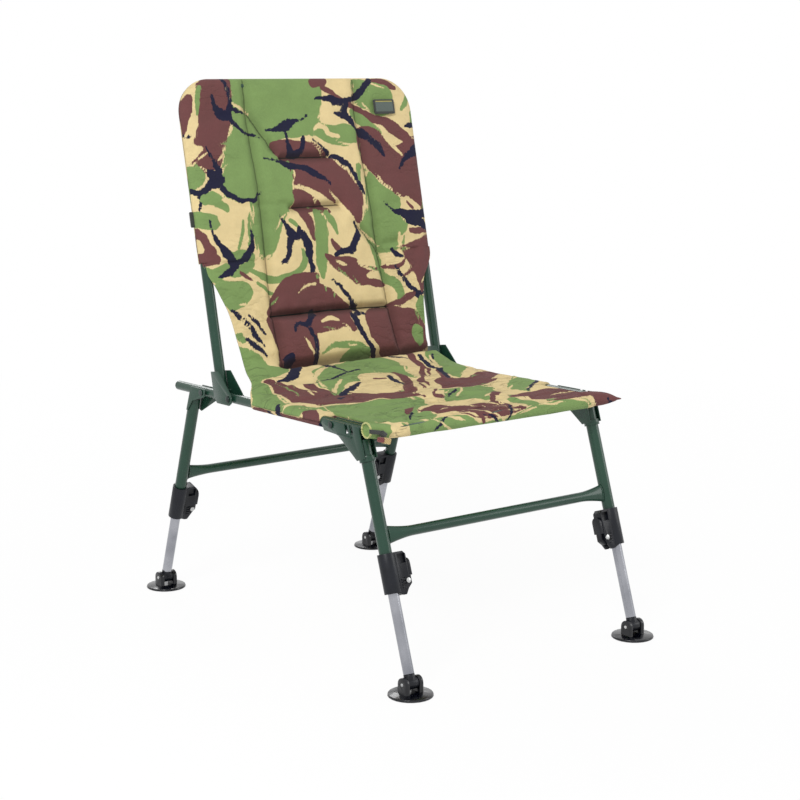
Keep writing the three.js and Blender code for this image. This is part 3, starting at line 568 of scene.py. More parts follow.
def rounded_slab(name, centre, axes, size, corner, thick, material, slot, body, bulge=0.1):
    """A plate with round corners and rolled edges, centred at a place, in the plane of two axes."""
    u, v = Vector(axes[0]).normalized(), Vector(axes[1]).normalized()
    w = u.cross(v)
    outline = []
    for cx, cy, start in ((1, 1, 0), (-1, 1, 90), (-1, -1, 180), (1, -1, 270)):
        for step in range(CORNER_STEPS + 1):
            turn = math.radians(start + 90 / CORNER_STEPS * step)
            outline.append((cx * (size[0] / 2 - corner) + corner * math.cos(turn),
                            cy * (size[1] / 2 - corner) + corner * math.sin(turn)))
    levels = [(0.97, -0.5), (1.0, -0.3), (1.0, 0.3), (0.97, 0.5), (0.86, 0.5 + bulge)]
    vertices = []
    for scale, height in levels:
        for a, b in outline:
            vertices.append(Vector(centre) + u * a * scale + v * b * scale + w * height * thick)
    piece = make_object(name, vertices, outer_faces(len(levels), len(outline)), material, SLAB_SHARP)
    return settle(piece, body)


# Tubes of the frame

seat_path = bend(SIDE_X, RAIL_BACK_Y, FRONT_BAR_Y, SEAT_CORNER_R, lambda x, y: seat_point(x, y, 0))
seat_frame = make_object("seat_frame", *open_tube(seat_path, RAIL_R), PAINT, TUBE_SHARP)
stand_for(seat_frame, "seat_tube", "seat")

back_foot = min(cad_points("back_tube")[:, 2])
back_start = (back_foot - BACK_PIVOT[2]) / math.cos(BACK_LEAN)
back_start += (BACK_OFFSET + BACK_TUBE_R) * math.tan(BACK_LEAN)
back_path = bend(SIDE_X, back_start, BACK_HEIGHT, BACK_CORNER_R, lambda x, z: back_point(x, BACK_OFFSET, z))
back_frame = make_object("back_frame", *open_tube(back_path, BACK_TUBE_R), PAINT, TUBE_SHARP)
stand_for(back_frame, "back_tube", "backrest")

for side in ("left", "right"):
    refined(f"rail_cap_{side}", "seat", PLASTIC, 0.6, 40)
    refined(f"back_bracket_{side}", "backrest", PAINT)
    for joint in ("back", "front_leg", "rear_leg"):
        refined(f"{joint}_bolt_{side}", "seat", BOLT, 0.4, 50)


# Legs


def crossbar(end):
    """A crossbar whose ends are pressed flat and flared, with a weld bead at each leg."""
    node = f"{end}_crossbar"
    points = cad_points(node)
    reach = points[:, 0].max()
    middle = (points[:, 1:].max(0) + points[:, 1:].min(0)) / 2
    ends = points[np.abs(points[:, 0]) > reach - 1][:, 1:] - middle
    _, _, axes = np.linalg.svd(ends, full_matrices=False)
    up = axes[0] if axes[0][1] > 0 else -axes[0]
    across = np.array([-up[1], up[0]])
    sides = TUBE_SIDES

    def oval(x, tall, thin):
        ring = []
        for k in range(sides):
            turn = 2 * math.pi * k / sides
            place = middle + up * tall * math.sin(turn) + across * thin * math.cos(turn)
            ring.append((x, place[0], place[1]))
        return ring

    left_end, right_end = np.linspace(-reach, -reach + 60, 14), np.linspace(reach - 60, reach, 14)
    stations = np.concatenate([left_end, np.linspace(-reach + 80, reach - 80, 5), right_end])
    vertices = []
    for x in stations:
        flat = max((abs(x) - (reach - PRESSED)) / PRESSED, 0) ** 1.6
        vertices += oval(x, BAR_R + FLARE * flat, BAR_R - PINCH * flat)
    faces = [(a, a + sides, b + sides, b) for a, b in ring_edges(len(stations), sides)]
    faces += [face[::-1] for face in end_faces(len(stations), sides)]
    stand_for(make_object(node + "_part", vertices, faces, PAINT, TUBE_SHARP), node, f"{end}_legs")
    for name, way in (("left", -1), ("right", 1)):
        ring = oval(way * (reach - 0.6), WELD_TALL, WELD_DEEP)
        ring.append(ring[0])
        radii = [WELD_R + 0.25 * math.sin(k * 2.9) for k in range(len(ring))]
        settle(make_object(f"{end}_weld_{name}", *sweep(ring, radii, 8), PAINT), f"{end}_legs")


def clamp_ribs(key, side, end):
    """Four moulded ribs beside the clamp's pin, on the front face of its block."""
    pin = cad_points(f"{key}_clamp_pin")
    way = 1 if side == "left" else -1
    turn = LEG_TURNS[end]
    up = Vector((0, math.sin(turn), math.cos(turn)))
    out = Vector((0, -math.cos(turn), math.sin(turn)))
    middle = Vector((pin.max(0) + pin.min(0)) / 2)
    axes, body = ((way, 0, 0), up * way), f"{end}_legs"
    for count, rise in enumerate(RIB_RISES):
        centre = middle + Vector((-way * RIB_BESIDE, 0, 0)) + up * rise + out * RIB_BEFORE
        rounded_slab(f"{key}_rib_{count}", centre, axes, RIB_SIZE, 0.6, RIB_THICK, PLASTIC, "plastic", body)


for end in ("front", "rear"):
    crossbar(end)
    for side in ("left", "right"):
        key = f"{end}_{side}"
        straight_tube(f"{key}_leg_tube", f"{end}_legs", PAINT)
        straight_tube(f"{key}_inner_tube", f"{key}_inner_leg", SILVER)
        refined(f"{key}_leg_bracket", f"{end}_legs", PAINT)
        refined(f"{key}_clamp", f"{end}_legs", PLASTIC, 0.7)
        clamp_ribs(key, side, end)
        refined(f"{key}_clamp_pin", f"{end}_legs", ZINC, 0.3, 50)
        refined(f"{key}_clamp_lever", f"{key}_lever", LEVER, 0.9)
        refined(f"{key}_end_plug", f"{key}_inner_leg", PLASTIC, 0.4)
        refined(f"{key}_foot_pin", f"{key}_inner_leg", ZINC, 0.3, 50)
        refined(f"{key}_foot", f"{key}_foot", GLOSS, 0.6)


# Cover: cloth coordinates run x across and s down the back and forward over the seat

# Rows of the free part: centre line y and z, then the side edge's y, z and half width.
FREE_ROWS = [
    (188.0, 596, 197, 597, 239), (184.4, 580, 190, 580, 235.6), (179.5, 560, 180, 560, 224.6),
    (174.2, 540, 174.7, 540, 216.4), (168.5, 520, 164.6, 520, 210.6), (161.5, 498, 158.5, 498, 205.5),
    (152.5, 474, 151.5, 474, 202.5), (142, 450, 144.5, 450, 199), (134.5, 434, 139.5, 434, 197.5),
    (130, 427, 133, 426, 199), (118, 418.5, 121, 419, 203.5), (104, 411, 107, 412, 206.5),
    (88, 406, 95, 406, 210.5), (74, 403, 86, 400, 217), (62, 401, 76, 395, 226), (52, 399, 56, 391.5, 238),
]
# The front sleeve is sewn under the seat here. Behind that seam the reverse has its own part of the print.
SLEEVE_SEAM_ALONG = 885
# A place at s on the reverse has the print of the face at this less s.
REVERSE_ALONG = 905
# How much wider the free cloth hangs on the right than on the left, by height.
RIGHT_HANG = [(520, -5.5), (534, -4.5), (548, -3.0), (563, 1.6), (577, 3.0), (588, 2.4), (600, 0)]
# How far the free cloth bows forward to pass in front of its tubes, by height.
TUBE_BOW = [(560, 0), (580, 2.5), (600, 6)]
# How far the cloth's face stands before the back tube's plane, by height along the tube.
BACK_FACE = [(222, 13), (289, 14), (330, 14.7), (371, 12.8), (411, 9.6), (452, 8), (490, 7), (540, 7)]
# How high the cloth's face stands over the rails' plane, by place along the seat.
SEAT_FACE = [
    (-290, 10.3), (-268, 10.3), (-220, 7.4), (-140, 8.4), (-60, 11.2), (0, 15), (40, 18.5), (52, 19.6),
]
# How full the padding is in the middle and at the sides, by place along the cloth.
FULL_MIDDLE = [
    (0, 0.5), (30, 3.0), (140, 4.5), (220, 5.5), (320, 6.5), (400, 7.5), (410, 9.0), (440, 12.0),
    (490, 13.0), (503, 6.0), (530, 7.0), (600, 5.0), (700, 2.5), (800, 1.5), (900, 0.5), (940, 0.0),
]
FULL_SIDES = [
    (0, 1.0), (60, 3.0), (300, 4.0), (400, 5.0), (500, 4.5), (560, 3.0), (700, 1.0), (940, 0.0),
]
# How loose the cloth is in the middle and at the sides, by place along the cloth.
LOOSE_MIDDLE = [(0, 0.1), (300, 0.15), (420, 0.25), (500, 0.5), (540, 1.0), (960, 1.0)]
LOOSE_SIDES = [(0, 0.35), (300, 0.45), (420, 0.8), (500, 1.0), (540, 1.0), (960, 1.0)]
# Rows over the corners of the back tube and of the seat tube
BACK_CORNER_ROWS = 30
SEAT_CORNER_ROWS = 25


def between(table, at):
    """The value of a table of pairs at places between its own."""
    return np.interp(at, *zip(*table))


def wrap_drop(beyond, wrap):
    """How far a sleeve's face falls, at a distance beyond its tube's centre line."""
    beyond = np.clip(beyond, 0, wrap)
    return wrap - np.sqrt(np.maximum(wrap**2 - beyond**2, 0))


def smooth(low, high, value):
    """0 at the low value and 1 at the high one, with a soft step between them."""
    share = np.clip((value - low) / (high - low), 0, 1)
    return share * share * (3 - 2 * share)


def beyond_path(x, along, radius):
    """How far a place lies outside the centre line of a U. along is counted from where its corners start."""
    corner = np.hypot(np.maximum(np.abs(x) - (SIDE_X - radius), 0), np.maximum(along, 0)) - radius
    return np.where(along > 0, corner, np.abs(x) - SIDE_X)


def half_width(along, radius, wrap):
    """The cover's half width beside a U's straight tubes and round its corners."""
    past = np.clip(along, 0, radius + wrap)
    return SIDE_X - radius + np.sqrt(np.maximum((radius + wrap) ** 2 - past**2, 0))


def column_shares():
    """Where the columns of points lie, as shares of the half width, closer together at the rolled edges."""
    inner, reached = 0.92, 0.955
    t = np.linspace(-1, 1, COLUMNS + 1)
    turn = (np.abs(t) - inner) / (1 - inner) * np.pi / 2
    outer = reached + 0.045 * np.sin(turn)
    return np.sign(t) * np.where(np.abs(t) < inner, np.abs(t) / inner * reached, outer)


def lengths_along(points):
    """How long a line is up to each of its points."""
    return np.concatenate([[0], np.cumsum(np.hypot(*np.diff(points, axis=0).T))])


def bell(reach, width):
    """Weights for smoothing, which add up to one."""
    weights = np.exp(-(np.arange(-reach, reach + 1) / width) ** 2)
    return weights / weights.sum()


FREE_TABLE = np.array(FREE_ROWS, float)
FREE_LENGTHS = lengths_along(FREE_TABLE[:, :2])


def cover_rows():
    """The stations of the cover from its top edge to its front edge."""
    rows = []
    corner_start = BACK_HEIGHT - BACK_CORNER_R
    corner = BACK_CORNER_R + BACK_WRAP
    for step in range(BACK_CORNER_ROWS):
        turn = math.pi / 2 * (1 - step / BACK_CORNER_ROWS)
        rows.append(("back", corner_start + corner * math.sin(turn)))
    rows += [("back", along) for along in np.arange(corner_start, HEM_ALONG, -ROW_STEP)]
    rows.append(("back", HEM_ALONG))
    length = FREE_LENGTHS[-1]
    rows += [("free", place / length) for place in np.linspace(0, length, int(length / ROW_STEP))]
    rows += [("seat", y) for y in np.arange(SEAT_HEM_Y, NOTCH_BACK_Y, -ROW_STEP)]
    rows += [("notch", y) for y in np.arange(NOTCH_BACK_Y, NOTCH_FRONT_Y, -ROW_STEP)]
    rows.append(("notch", NOTCH_FRONT_Y))
    corner_start = FRONT_BAR_Y + SEAT_CORNER_R
    corner = SEAT_CORNER_R + SEAT_WRAP
    start = math.asin((corner_start - NOTCH_FRONT_Y) / corner)
    for step in range(SEAT_CORNER_ROWS + 1):
        turn = start + (math.pi / 2 - start) * step / SEAT_CORNER_ROWS
        rows.append(("seat", corner_start - corner * math.sin(turn)))
    return rows


def free_lines():
    """The free part's rows as smooth functions of a share of its length."""
    shares = FREE_LENGTHS / FREE_LENGTHS[-1]
    fine = np.linspace(0, 1, 241)
    columns = []
    for column in FREE_TABLE.T:
        line = np.interp(fine, shares, column)
        longer = np.concatenate([2 * line[0] - line[12:0:-1], line, 2 * line[-1] - line[-2:-14:-1]])
        columns.append(np.convolve(longer, bell(12, 5.0), "valid"))
    return fine, columns


# Seams of the quilting: the way they run, points in cloth coordinates, depth and half width.
DOWN, OVER, SLANT = 0, 1, 2
SEAMS = [
    (DOWN, [(-116, 4), (-115, 120), (-116, 240), (-118, 310), (-122, 400), (-125, 500)], 4.2, 4.6),
    (DOWN, [(114, 4), (114, 120), (117, 240), (119, 310), (122, 400), (126, 500)], 4.2, 4.6),
    (OVER, [(-60, 139), (42, 139)], 6.5, 4.6),
    (OVER, [(-56, 227), (48, 226)], 6.0, 4.6),
    (OVER, [(-124, 409), (0, 408), (124, 411)], 9.5, 5.4),
    (OVER, [(-128, 499), (0, 501), (128, 498), (196, 497)], 15.5, 6.0),
    (SLANT, [(-118, 55), (-92, 96), (-70, 131)], 3.0, 4.0),
    (SLANT, [(80, 264), (100, 290), (122, 318)], 2.6, 4.0),
    (SLANT, [(134, 299), (168, 297)], 1.8, 4.0),
]
# A seam deeper than this gets stronger painted shade.
DEEP_SEAM = 6.0
# The distance that stands for no seam nearby
FAR_SEAM = 50.0
# Soft folds that stand up or sink: points in cloth coordinates, height and half width.
FOLDS = [
    ([(-196, 912), (-120, 902), (-40, 884), (40, 872)], -3.4, 3.2),
    ([(-190, 926), (-112, 921), (-20, 912), (50, 900)], -3.0, 2.8),
    ([(-160, 886), (-80, 872), (-10, 868)], -2.6, 2.8),
    ([(-110, 936), (-40, 930), (20, 918)], -2.6, 2.6),
    ([(-196, 846), (-140, 836), (-70, 842)], -2.8, 3.0),
    ([(-206, 700), (-160, 704), (-110, 696)], -2.8, 3.2),
    ([(60, 906), (120, 900), (190, 908)], -3.0, 3.0),
    ([(110, 930), (160, 922), (214, 926)], -2.8, 2.8),
    ([(70, 640), (130, 650), (196, 640)], -2.6, 3.2),
    ([(-90, 520), (-30, 514), (40, 520)], -2.6, 3.4),
    ([(-240, 219), (-150, 221), (-60, 219)], -1.8, 4.5),
    ([(-236, 380), (-205, 392), (-180, 410)], 2.6, 8.0),
    ([(-222, 352), (-196, 372), (-160, 392)], -1.8, 6.0),
    ([(-196, 436), (-168, 448), (-140, 452)], -2.2, 6.0),
    ([(-200, 470), (-170, 476), (-130, 470)], 2.2, 7.0),
    ([(236, 345), (200, 372), (170, 398)], 2.6, 8.0),
    ([(216, 420), (180, 426), (140, 424)], 1.8, 8.0),
    ([(206, 470), (170, 470), (136, 462)], -2.0, 7.0),
    ([(-212, 540), (-170, 548), (-128, 540)], -3.8, 5.0),
    ([(-215, 560), (-150, 590), (-60, 600)], 3.5, 9.0),
    ([(-228, 640), (-150, 655), (-70, 640)], -3.5, 7.0),
    ([(-222, 745), (-120, 742), (0, 760), (90, 770)], 3.5, 6.0),
    ([(-215, 800), (-140, 792), (-60, 780), (20, 790)], -3.8, 5.0),
    ([(-212, 850), (-120, 822), (-20, 812), (80, 830)], 3.8, 6.0),
    ([(-205, 872), (-150, 846), (-60, 838)], -3.5, 4.5),
    ([(-200, 890), (-110, 866), (0, 856), (110, 866)], 3.2, 5.0),
    ([(215, 700), (150, 725), (60, 742), (-30, 738)], 3.2, 7.0),
    ([(222, 800), (140, 805), (50, 812)], -3.5, 6.0),
    ([(225, 850), (150, 846), (70, 856)], 3.2, 6.0),
    ([(60, 560), (120, 590), (205, 600)], 3.5, 8.0),
    ([(130, 528), (170, 540), (214, 548)], -2.0, 5.0),
    ([(-60, 700), (0, 690), (80, 700)], -2.6, 9.0),
    ([(-238, 120), (-190, 132), (-150, 130)], 1.4, 7.0),
    ([(-240, 60), (-200, 70), (-160, 64)], -1.2, 8.0),
    ([(236, 150), (190, 160), (140, 158)], 1.6, 8.0),
    ([(238, 230), (200, 222), (150, 232)], -1.6, 7.0),
    ([(236, 290), (190, 280), (140, 286)], 1.4, 7.0),
    ([(-238, 280), (-200, 288), (-150, 280)], 1.4, 7.0),
    ([(-238, 170), (-200, 176), (-150, 168)], -1.2, 6.0),
]


def to_segment(px, ps, start, end):
    """For places: how far along a segment its nearest point is, as a share, and how far away that is."""
    dx, ds = end[0] - start[0], end[1] - start[1]
    square = max(dx * dx + ds * ds, 1e-9)
    share = np.clip(((px - start[0]) * dx + (ps - start[1]) * ds) / square, 0, 1)
    return share, np.hypot(px - start[0] - share * dx, ps - start[1] - share * ds)


def line_distance(px, ps, points):
    """Distances from places to a line through points, in millimetres, below zero on one side of it."""
    best = np.full(px.shape, 1e9)
    for start, end in zip(points, points[1:]):
        _, off = to_segment(px, ps, start, end)
        turned = (px - start[0]) * (end[1] - start[1]) - (ps - start[1]) * (end[0] - start[0])
        best = np.where(off < np.abs(best), off * np.where(turned < 0, -1, 1), best)
    return best


def value_noise(px, ps, size, seed):
    """Smooth noise from -1 to 1 at places, its features about size apart."""
    rng = np.random.default_rng(seed)
    grid = rng.uniform(-1, 1, (64, 64))
    u, v = px / size + 31.3, ps / size + 17.7
    i, j = np.floor(u).astype(int), np.floor(v).astype(int)
    fu, fv = u - i, v - j
    fu, fv = fu * fu * (3 - 2 * fu), fv * fv * (3 - 2 * fv)

    def at(a, b):
        return grid[a % 64, b % 64]

    low = at(i, j) * (1 - fu) + at(i + 1, j) * fu
    high = at(i, j + 1) * (1 - fu) + at(i + 1, j + 1) * fu
    return low * (1 - fv) + high * fv


def seam_fields(px, ps):
    """For each way that seams run: signed distances to the nearest, and how strong its painted shade is."""
    lines = np.full((3, *px.shape), FAR_SEAM)
    seam_shading = np.zeros((3, *px.shape))
    for count, (way, points, depth, _) in enumerate(SEAMS):
        signed = line_distance(px, ps, points)
        # Every second cross seam is turned round, so that the sign doesn't jump halfway between two.
        if way == OVER and count % 2:
            signed = -signed
        nearer = np.abs(signed) < np.abs(lines[way])
        lines[way] = np.where(nearer, signed, lines[way])
        at, axis = (px, 0) if way == OVER else (ps, 1)
        first, last = points[0][axis], points[-1][axis]
        within = smooth(first - 4, first + 2, at) * smooth(last + 4, last - 2, at)
        close = smooth(16, 12, np.abs(signed))
        # Deeper seams get stronger painted shade.
        deep_shade = 1 + max(depth - DEEP_SEAM, 0) / 10
        seam_shading[way] = np.where(nearer, within * close * deep_shade, seam_shading[way])
    return lines, seam_shading


def padding(px, ps, half):
    """How far the quilted face stands out of its base surface, in millimetres."""
    seam = np.full(px.shape, 1e9)
    upright = seam
    groove = np.zeros(px.shape)
    for way, points, depth, wide in SEAMS:
        distance = np.abs(line_distance(px, ps, points))
        seam = np.minimum(seam, distance)
        if way == DOWN:
            upright = np.minimum(upright, distance)
        groove = np.maximum(groove, depth * np.exp(-((distance / wide) ** 2)))
    middle = smooth(124, 108, np.abs(px))
    full = between(FULL_MIDDLE, ps) * middle + between(FULL_SIDES, ps) * (1 - middle)
    rise = full * (1 - np.exp(-seam / 13))
    edge = smooth(0, 22, half - np.abs(px))
    rise *= edge * 1.15
    pucker = value_noise(px, ps, 12, 3) * np.exp(-seam / 17) * 2.5 * (1 - 0.75 * np.exp(-upright / 12))
    soft = value_noise(px, ps, 46, 5) * 1.5 + value_noise(px, ps * 0.8, 21, 6) * 0.8
    fine = value_noise(px, ps, 11, 7) * 0.3
    ruffled = value_noise(px * 0.38, ps, 13, 9) * smooth(503, 560, ps) * 1.5
    total = rise - groove + (pucker + soft * WRINKLE + fine + ruffled) * edge
    for points, height, wide in FOLDS:
        distance = line_distance(px, ps, points)
        total += height * np.exp(-((distance / wide) ** 2)) * edge
    return total


def back_row(place, shares):
    """A row of the cover over the back tube: half width, x, face, thickness and how far its edges fall."""
    past = place - (BACK_HEIGHT - BACK_CORNER_R)
    half = half_width(past, BACK_CORNER_R, BACK_WRAP)
    x = shares * half
    beyond = beyond_path(x, past, BACK_CORNER_R)
    front = BACK_WRAP + (between(BACK_FACE, place) - BACK_WRAP) * smooth(8, 60, -beyond)
    rear = BACK_WRAP - 6.5 * smooth(6, 40, -beyond)
    out = np.array([-math.cos(BACK_LEAN), math.sin(BACK_LEAN)])
    face = np.array(back_point(0, BACK_OFFSET, place)[1:]) + np.outer(front, out)
    return half, x, face, front + rear, wrap_drop(beyond, BACK_WRAP)


def free_row(place, shares, fine, lines):
    """A row of the cover where it hangs free between back and seat, with the same parts as back_row's."""
    yc, zc, ye, ze, half = [np.interp(place, fine, line) for line in lines]
    away = np.abs(shares)
    x = shares * half + between(RIGHT_HANG, ze) * smooth(0.75, 1, shares)
    share = away**3.2
    bow = between(TUBE_BOW, ze) * smooth(0.8, 0.93, away) * (1 - smooth(0.965, 1, -shares))
    face = np.stack([yc + (ye - yc) * share - bow, zc + (ze - zc) * share], 1)
    thick = EDGE_THICK + 5.0 * smooth(0, 40, half * (1 - away))
    rolled = (away * half - half + EDGE_THICK / 2) * thick / EDGE_THICK
    return half, x, face, thick, wrap_drop(rolled, thick / 2)


def seat_row(place, shares, notched):
    """A row of the cover over the seat tube or between its notches, with the same parts as back_row's."""
    past = FRONT_BAR_Y + SEAT_CORNER_R - place
    half = NOTCH_HALF if notched else half_width(past, SEAT_CORNER_R, SEAT_WRAP)
    x = shares * half
    beyond = np.maximum(beyond_path(x, past, SEAT_CORNER_R), FRONT_BAR_Y - place)
    top = SEAT_WRAP + (between(SEAT_FACE, place) - SEAT_WRAP) * smooth(6, 70, -beyond)
    if notched:
        thick = np.full(len(shares), SEAT_THICK)
        drop = wrap_drop(np.abs(x) - NOTCH_HALF + NOTCH_ROLL, NOTCH_ROLL)
    else:
        thick = top + SEAT_WRAP - (SEAT_WRAP + top - SEAT_THICK) * smooth(9, 22, -beyond)
        drop = wrap_drop(beyond, SEAT_WRAP)
    up = np.array([math.sin(SEAT_FALL), math.cos(SEAT_FALL)])
    face = np.array(seat_point(0, place, 0)[1:]) + np.outer(top, up)
    return half, x, face, thick, drop


def cover_surface():
    """The rows' parts as arrays, the rows' places along the cloth and the way that each row faces."""
    shares = column_shares()
    fine, lines = free_lines()
    made = []
    for zone, place in cover_rows():
        if zone == "back":
            made.append(back_row(place, shares))
        elif zone == "free":
            made.append(free_row(place, shares, fine, lines))
        else:
            made.append(seat_row(place, shares, zone == "notch"))
    half, x, face, thick, drop = (np.array(part) for part in zip(*made))
    middle = face[:, COLUMNS // 2]
    s = lengths_along(middle)
    # Over the front tube the cloth is longer than its middle line, because it follows an arc.
    left = s[-1] - s
    arc = SEAT_WRAP * np.arcsin(np.clip(1 - left / SEAT_WRAP, 0, 1))
    s += np.where(left < SEAT_WRAP, arc - (SEAT_WRAP - left), 0)
    tangent = np.gradient(middle, axis=0)
    for k in range(2):
        longer = np.concatenate([[tangent[0, k]] * 4, tangent[:, k], [tangent[-1, k]] * 4])
        tangent[:, k] = np.convolve(longer, bell(4, 2.0), "valid")
    tangent /= np.linalg.norm(tangent, axis=1)[:, None]
    normal = np.stack([tangent[:, 1], -tangent[:, 0]], 1)
    return x, face, thick, drop, half, s, normal


# Brush strokes of the print: colour, then places x and s with the brush's half width.
# A patch is a closed outline of places x and s.
PRINT = []


def patch(colour, *points):
    PRINT.append((colour, "patch", points))


def stroke(colour, *points):
    PRINT.append((colour, "stroke", points))


G, B, K, T = "green", "brown", "black", "tan"

patch(G, (-148, -8), (30, -8), (38, 40), (30, 75), (12, 84), (8, 100), (-60, 108), (-78, 115), (-68, 130),
      (-55, 150), (-45, 170), (-48, 190), (-50, 215), (-62, 235), (-85, 262), (-100, 295), (-118, 314),
      (-135, 300), (-140, 270), (-138, 240), (-140, 215), (-165, 212), (-185, 200), (-190, 170), (-180, 150),
      (-168, 118), (-158, 95), (-150, 60), (-147, 30))
patch(G, (22, 76), (50, 86), (90, 85), (112, 95), (116, 118), (90, 124), (50, 118), (20, 104), (4, 100),
      (8, 84))
stroke(T, (18, 90, 3), (30, 86, 4.5), (42, 90, 4), (46, 100, 4.5), (66, 107, 4))
stroke(B, (28, 10, 7), (50, 4, 10))
stroke(B, (47, 17, 4), (78, 37, 5), (112, 54, 6), (138, 70, 8), (168, 80, 9), (190, 94, 12), (212, 108, 9),
       (228, 120, 5))
stroke(B, (158, 8, 4), (180, 12, 8), (203, 19, 3))
patch(G, (112, 6), (150, 8), (190, 22), (198, 45), (190, 66), (162, 68), (140, 58), (118, 45))
stroke(G, (108, 62, 7), (130, 80, 9), (156, 101, 5))
stroke(G, (234, 32, 3), (224, 48, 5), (212, 62, 2))
stroke(G, (240, 70, 9), (236, 86, 7))
patch(B, (110, 96), (125, 88), (150, 94), (165, 108), (190, 124), (215, 118), (248, 118), (248, 252),
      (235, 250), (222, 230), (200, 215), (185, 218), (160, 205), (140, 186), (122, 166), (112, 150),
      (108, 130))
stroke(T, (167, 106, 3.5), (180, 122, 4.5), (197, 143, 2.5))
stroke(K, (28, 39, 2.5), (52, 37, 5), (78, 43, 7.5), (98, 40, 5), (115, 34, 5.5), (134, 20, 6),
       (152, 3, 4.5))
stroke(K, (65, 62, 2.5), (82, 69, 7), (96, 73, 7.5), (108, 90, 5), (120, 97, 6))
stroke(K, (92, 48, 8), (85, 60, 8))
stroke(K, (120, 98, 8), (128, 108, 7), (141, 118, 7), (151, 126, 7.5), (158, 141, 3))
stroke(K, (248, 122, 7), (226, 138, 8), (206, 148, 5), (188, 168, 1.5))
stroke(K, (217, 88, 2), (232, 90, 5), (246, 89, 4))
patch(B, (-76, 112), (-55, 109), (-20, 111), (10, 116), (35, 130), (60, 150), (80, 172), (90, 195), (98, 215),
      (92, 240), (85, 262), (72, 254), (60, 242), (47, 228), (36, 222), (14, 210), (-12, 199), (-42, 188),
      (-45, 170), (-52, 150), (-66, 138), (-73, 127))
stroke(T, (-41, 190, 2), (-14, 200, 4.5), (12, 215, 5), (36, 233, 6))
stroke(T, (30, 202, 1.5), (45, 220, 3.5), (58, 238, 4.5), (72, 252, 2.5))
patch(B, (-47, 196), (-28, 198), (-10, 210), (10, 224), (24, 237), (0, 238), (-20, 236), (-36, 237),
      (-51, 229), (-49, 214))
stroke(B, (-38, 236, 5), (-26, 250, 8), (-20, 268, 5), (-18, 286, 1.5))
stroke(T, (-53, 234, 2.5), (-36, 255, 4), (-28, 280, 3), (-20, 308, 2.5), (-20, 340, 1.5))
stroke(G, (-6, 238, 7), (0, 262, 12), (-5, 290, 12), (-7, 320, 11), (-12, 350, 4))
stroke(G, (14, 238, 5), (24, 255, 6), (31, 276, 2.5))
stroke(K, (-83, 88, 1.5), (-62, 88, 4), (-44, 84, 9), (-22, 76, 3.5), (-6, 73, 1.5), (6, 67, 2.5))
stroke(K, (-43, 96, 3), (-42, 112, 4), (-38, 131, 8), (-24, 131, 7), (-12, 118, 4.5), (-10, 104, 2.5))
stroke(K, (-97, 142, 1.5), (-70, 143, 2.5), (-48, 154, 6), (-22, 158, 5), (0, 168, 6), (22, 178, 3.5),
       (34, 190, 1.5))
stroke(K, (10, 110, 1.5), (32, 124, 2.5), (46, 137, 4), (65, 147, 5), (80, 162, 4), (92, 185, 5),
       (100, 204, 4), (107, 214, 1))
stroke(T, (42, 138, 1.2), (58, 152, 2), (74, 167, 2), (87, 190, 1.8))
stroke(G, (101, 160, 5), (97, 182, 3.5))
stroke(T, (116, 160, 2.5), (109, 180, 3.5), (105, 202, 2))
patch(G, (115, 165), (130, 178), (150, 200), (180, 221), (177, 245), (192, 262), (182, 285), (170, 312),
      (110, 312), (95, 286), (85, 268), (98, 245), (105, 220), (112, 190))
stroke(T, (84, 268, 1.8), (100, 285, 2.2), (122, 304, 1.8))
stroke(T, (185, 220, 3), (183, 246, 3.5))
stroke(T, (204, 219, 3), (214, 235, 5), (226, 249, 4))
stroke(B, (199, 226, 2.5), (207, 239, 3))
stroke(K, (143, 227, 1.5), (162, 240, 3), (190, 250, 7), (215, 250, 8), (242, 250, 5))
stroke(K, (197, 259, 8), (220, 264, 9), (236, 275, 6))
stroke(B, (195, 279, 4), (218, 281, 6), (242, 288, 7))
stroke(T, (190, 293, 1.5), (215, 289, 2.5), (236, 285, 1.5))
stroke(T, (170, 283, 2.5), (172, 306, 3))
stroke(B, (17, 289, 3), (26, 301, 5.5), (36, 309, 3))
patch(B, (-205, 12), (-170, -6), (-145, -6), (-146, 55), (-158, 90), (-166, 115), (-172, 118), (-180, 140),
      (-190, 156), (-215, 162), (-238, 146), (-225, 132), (-212, 118), (-228, 112), (-222, 95), (-213, 75),
      (-211, 50), (-208, 30))
stroke(G, (-203, 16, 3), (-211, 38, 4), (-215, 60, 2.5))
stroke(B, (-226, 34, 6), (-236, 60, 8), (-250, 92, 7))
stroke(K, (-183, 28, 2), (-177, 48, 4.5), (-168, 60, 9), (-158, 64, 8), (-149, 46, 5.5), (-150, 25, 3.5),
       (-154, 2, 3))
stroke(K, (-150, 70, 6), (-139, 82, 4), (-122, 93, 3), (-95, 102, 1.5))
stroke(K, (-146, 50, 3.5), (-131, 57, 3), (-119, 60, 1.5))
stroke(T, (-144, 43, 2), (-128, 51, 3), (-111, 63, 1.5))
stroke(G, (-242, 158, 10), (-224, 166, 9), (-240, 176, 10))
stroke(K, (-209, 118, 1.5), (-196, 142, 3.5), (-188, 158, 7))
stroke(K, (-202, 164, 10), (-192, 172, 10), (-206, 182, 8))
stroke(K, (-252, 184, 3), (-231, 193, 5), (-212, 186, 7))
stroke(K, (-232, 200, 4), (-233, 221, 1.5))
stroke(K, (-188, 188, 6), (-172, 203, 5), (-150, 211, 4), (-128, 210, 4), (-121, 202, 3), (-112, 200, 1.5))
stroke(K, (-252, 90, 3), (-235, 98, 2))
stroke(G, (-226, 204, 8), (-206, 205, 10), (-192, 216, 9), (-186, 226, 4))
stroke(G, (-244, 236, 13), (-218, 241, 14), (-204, 241, 8))
stroke(T, (-232, 222, 1.5), (-215, 225, 4.5), (-201, 232, 4), (-197, 246, 3))
stroke(T, (-191, 208, 2), (-179, 214, 4), (-175, 226, 3.5))
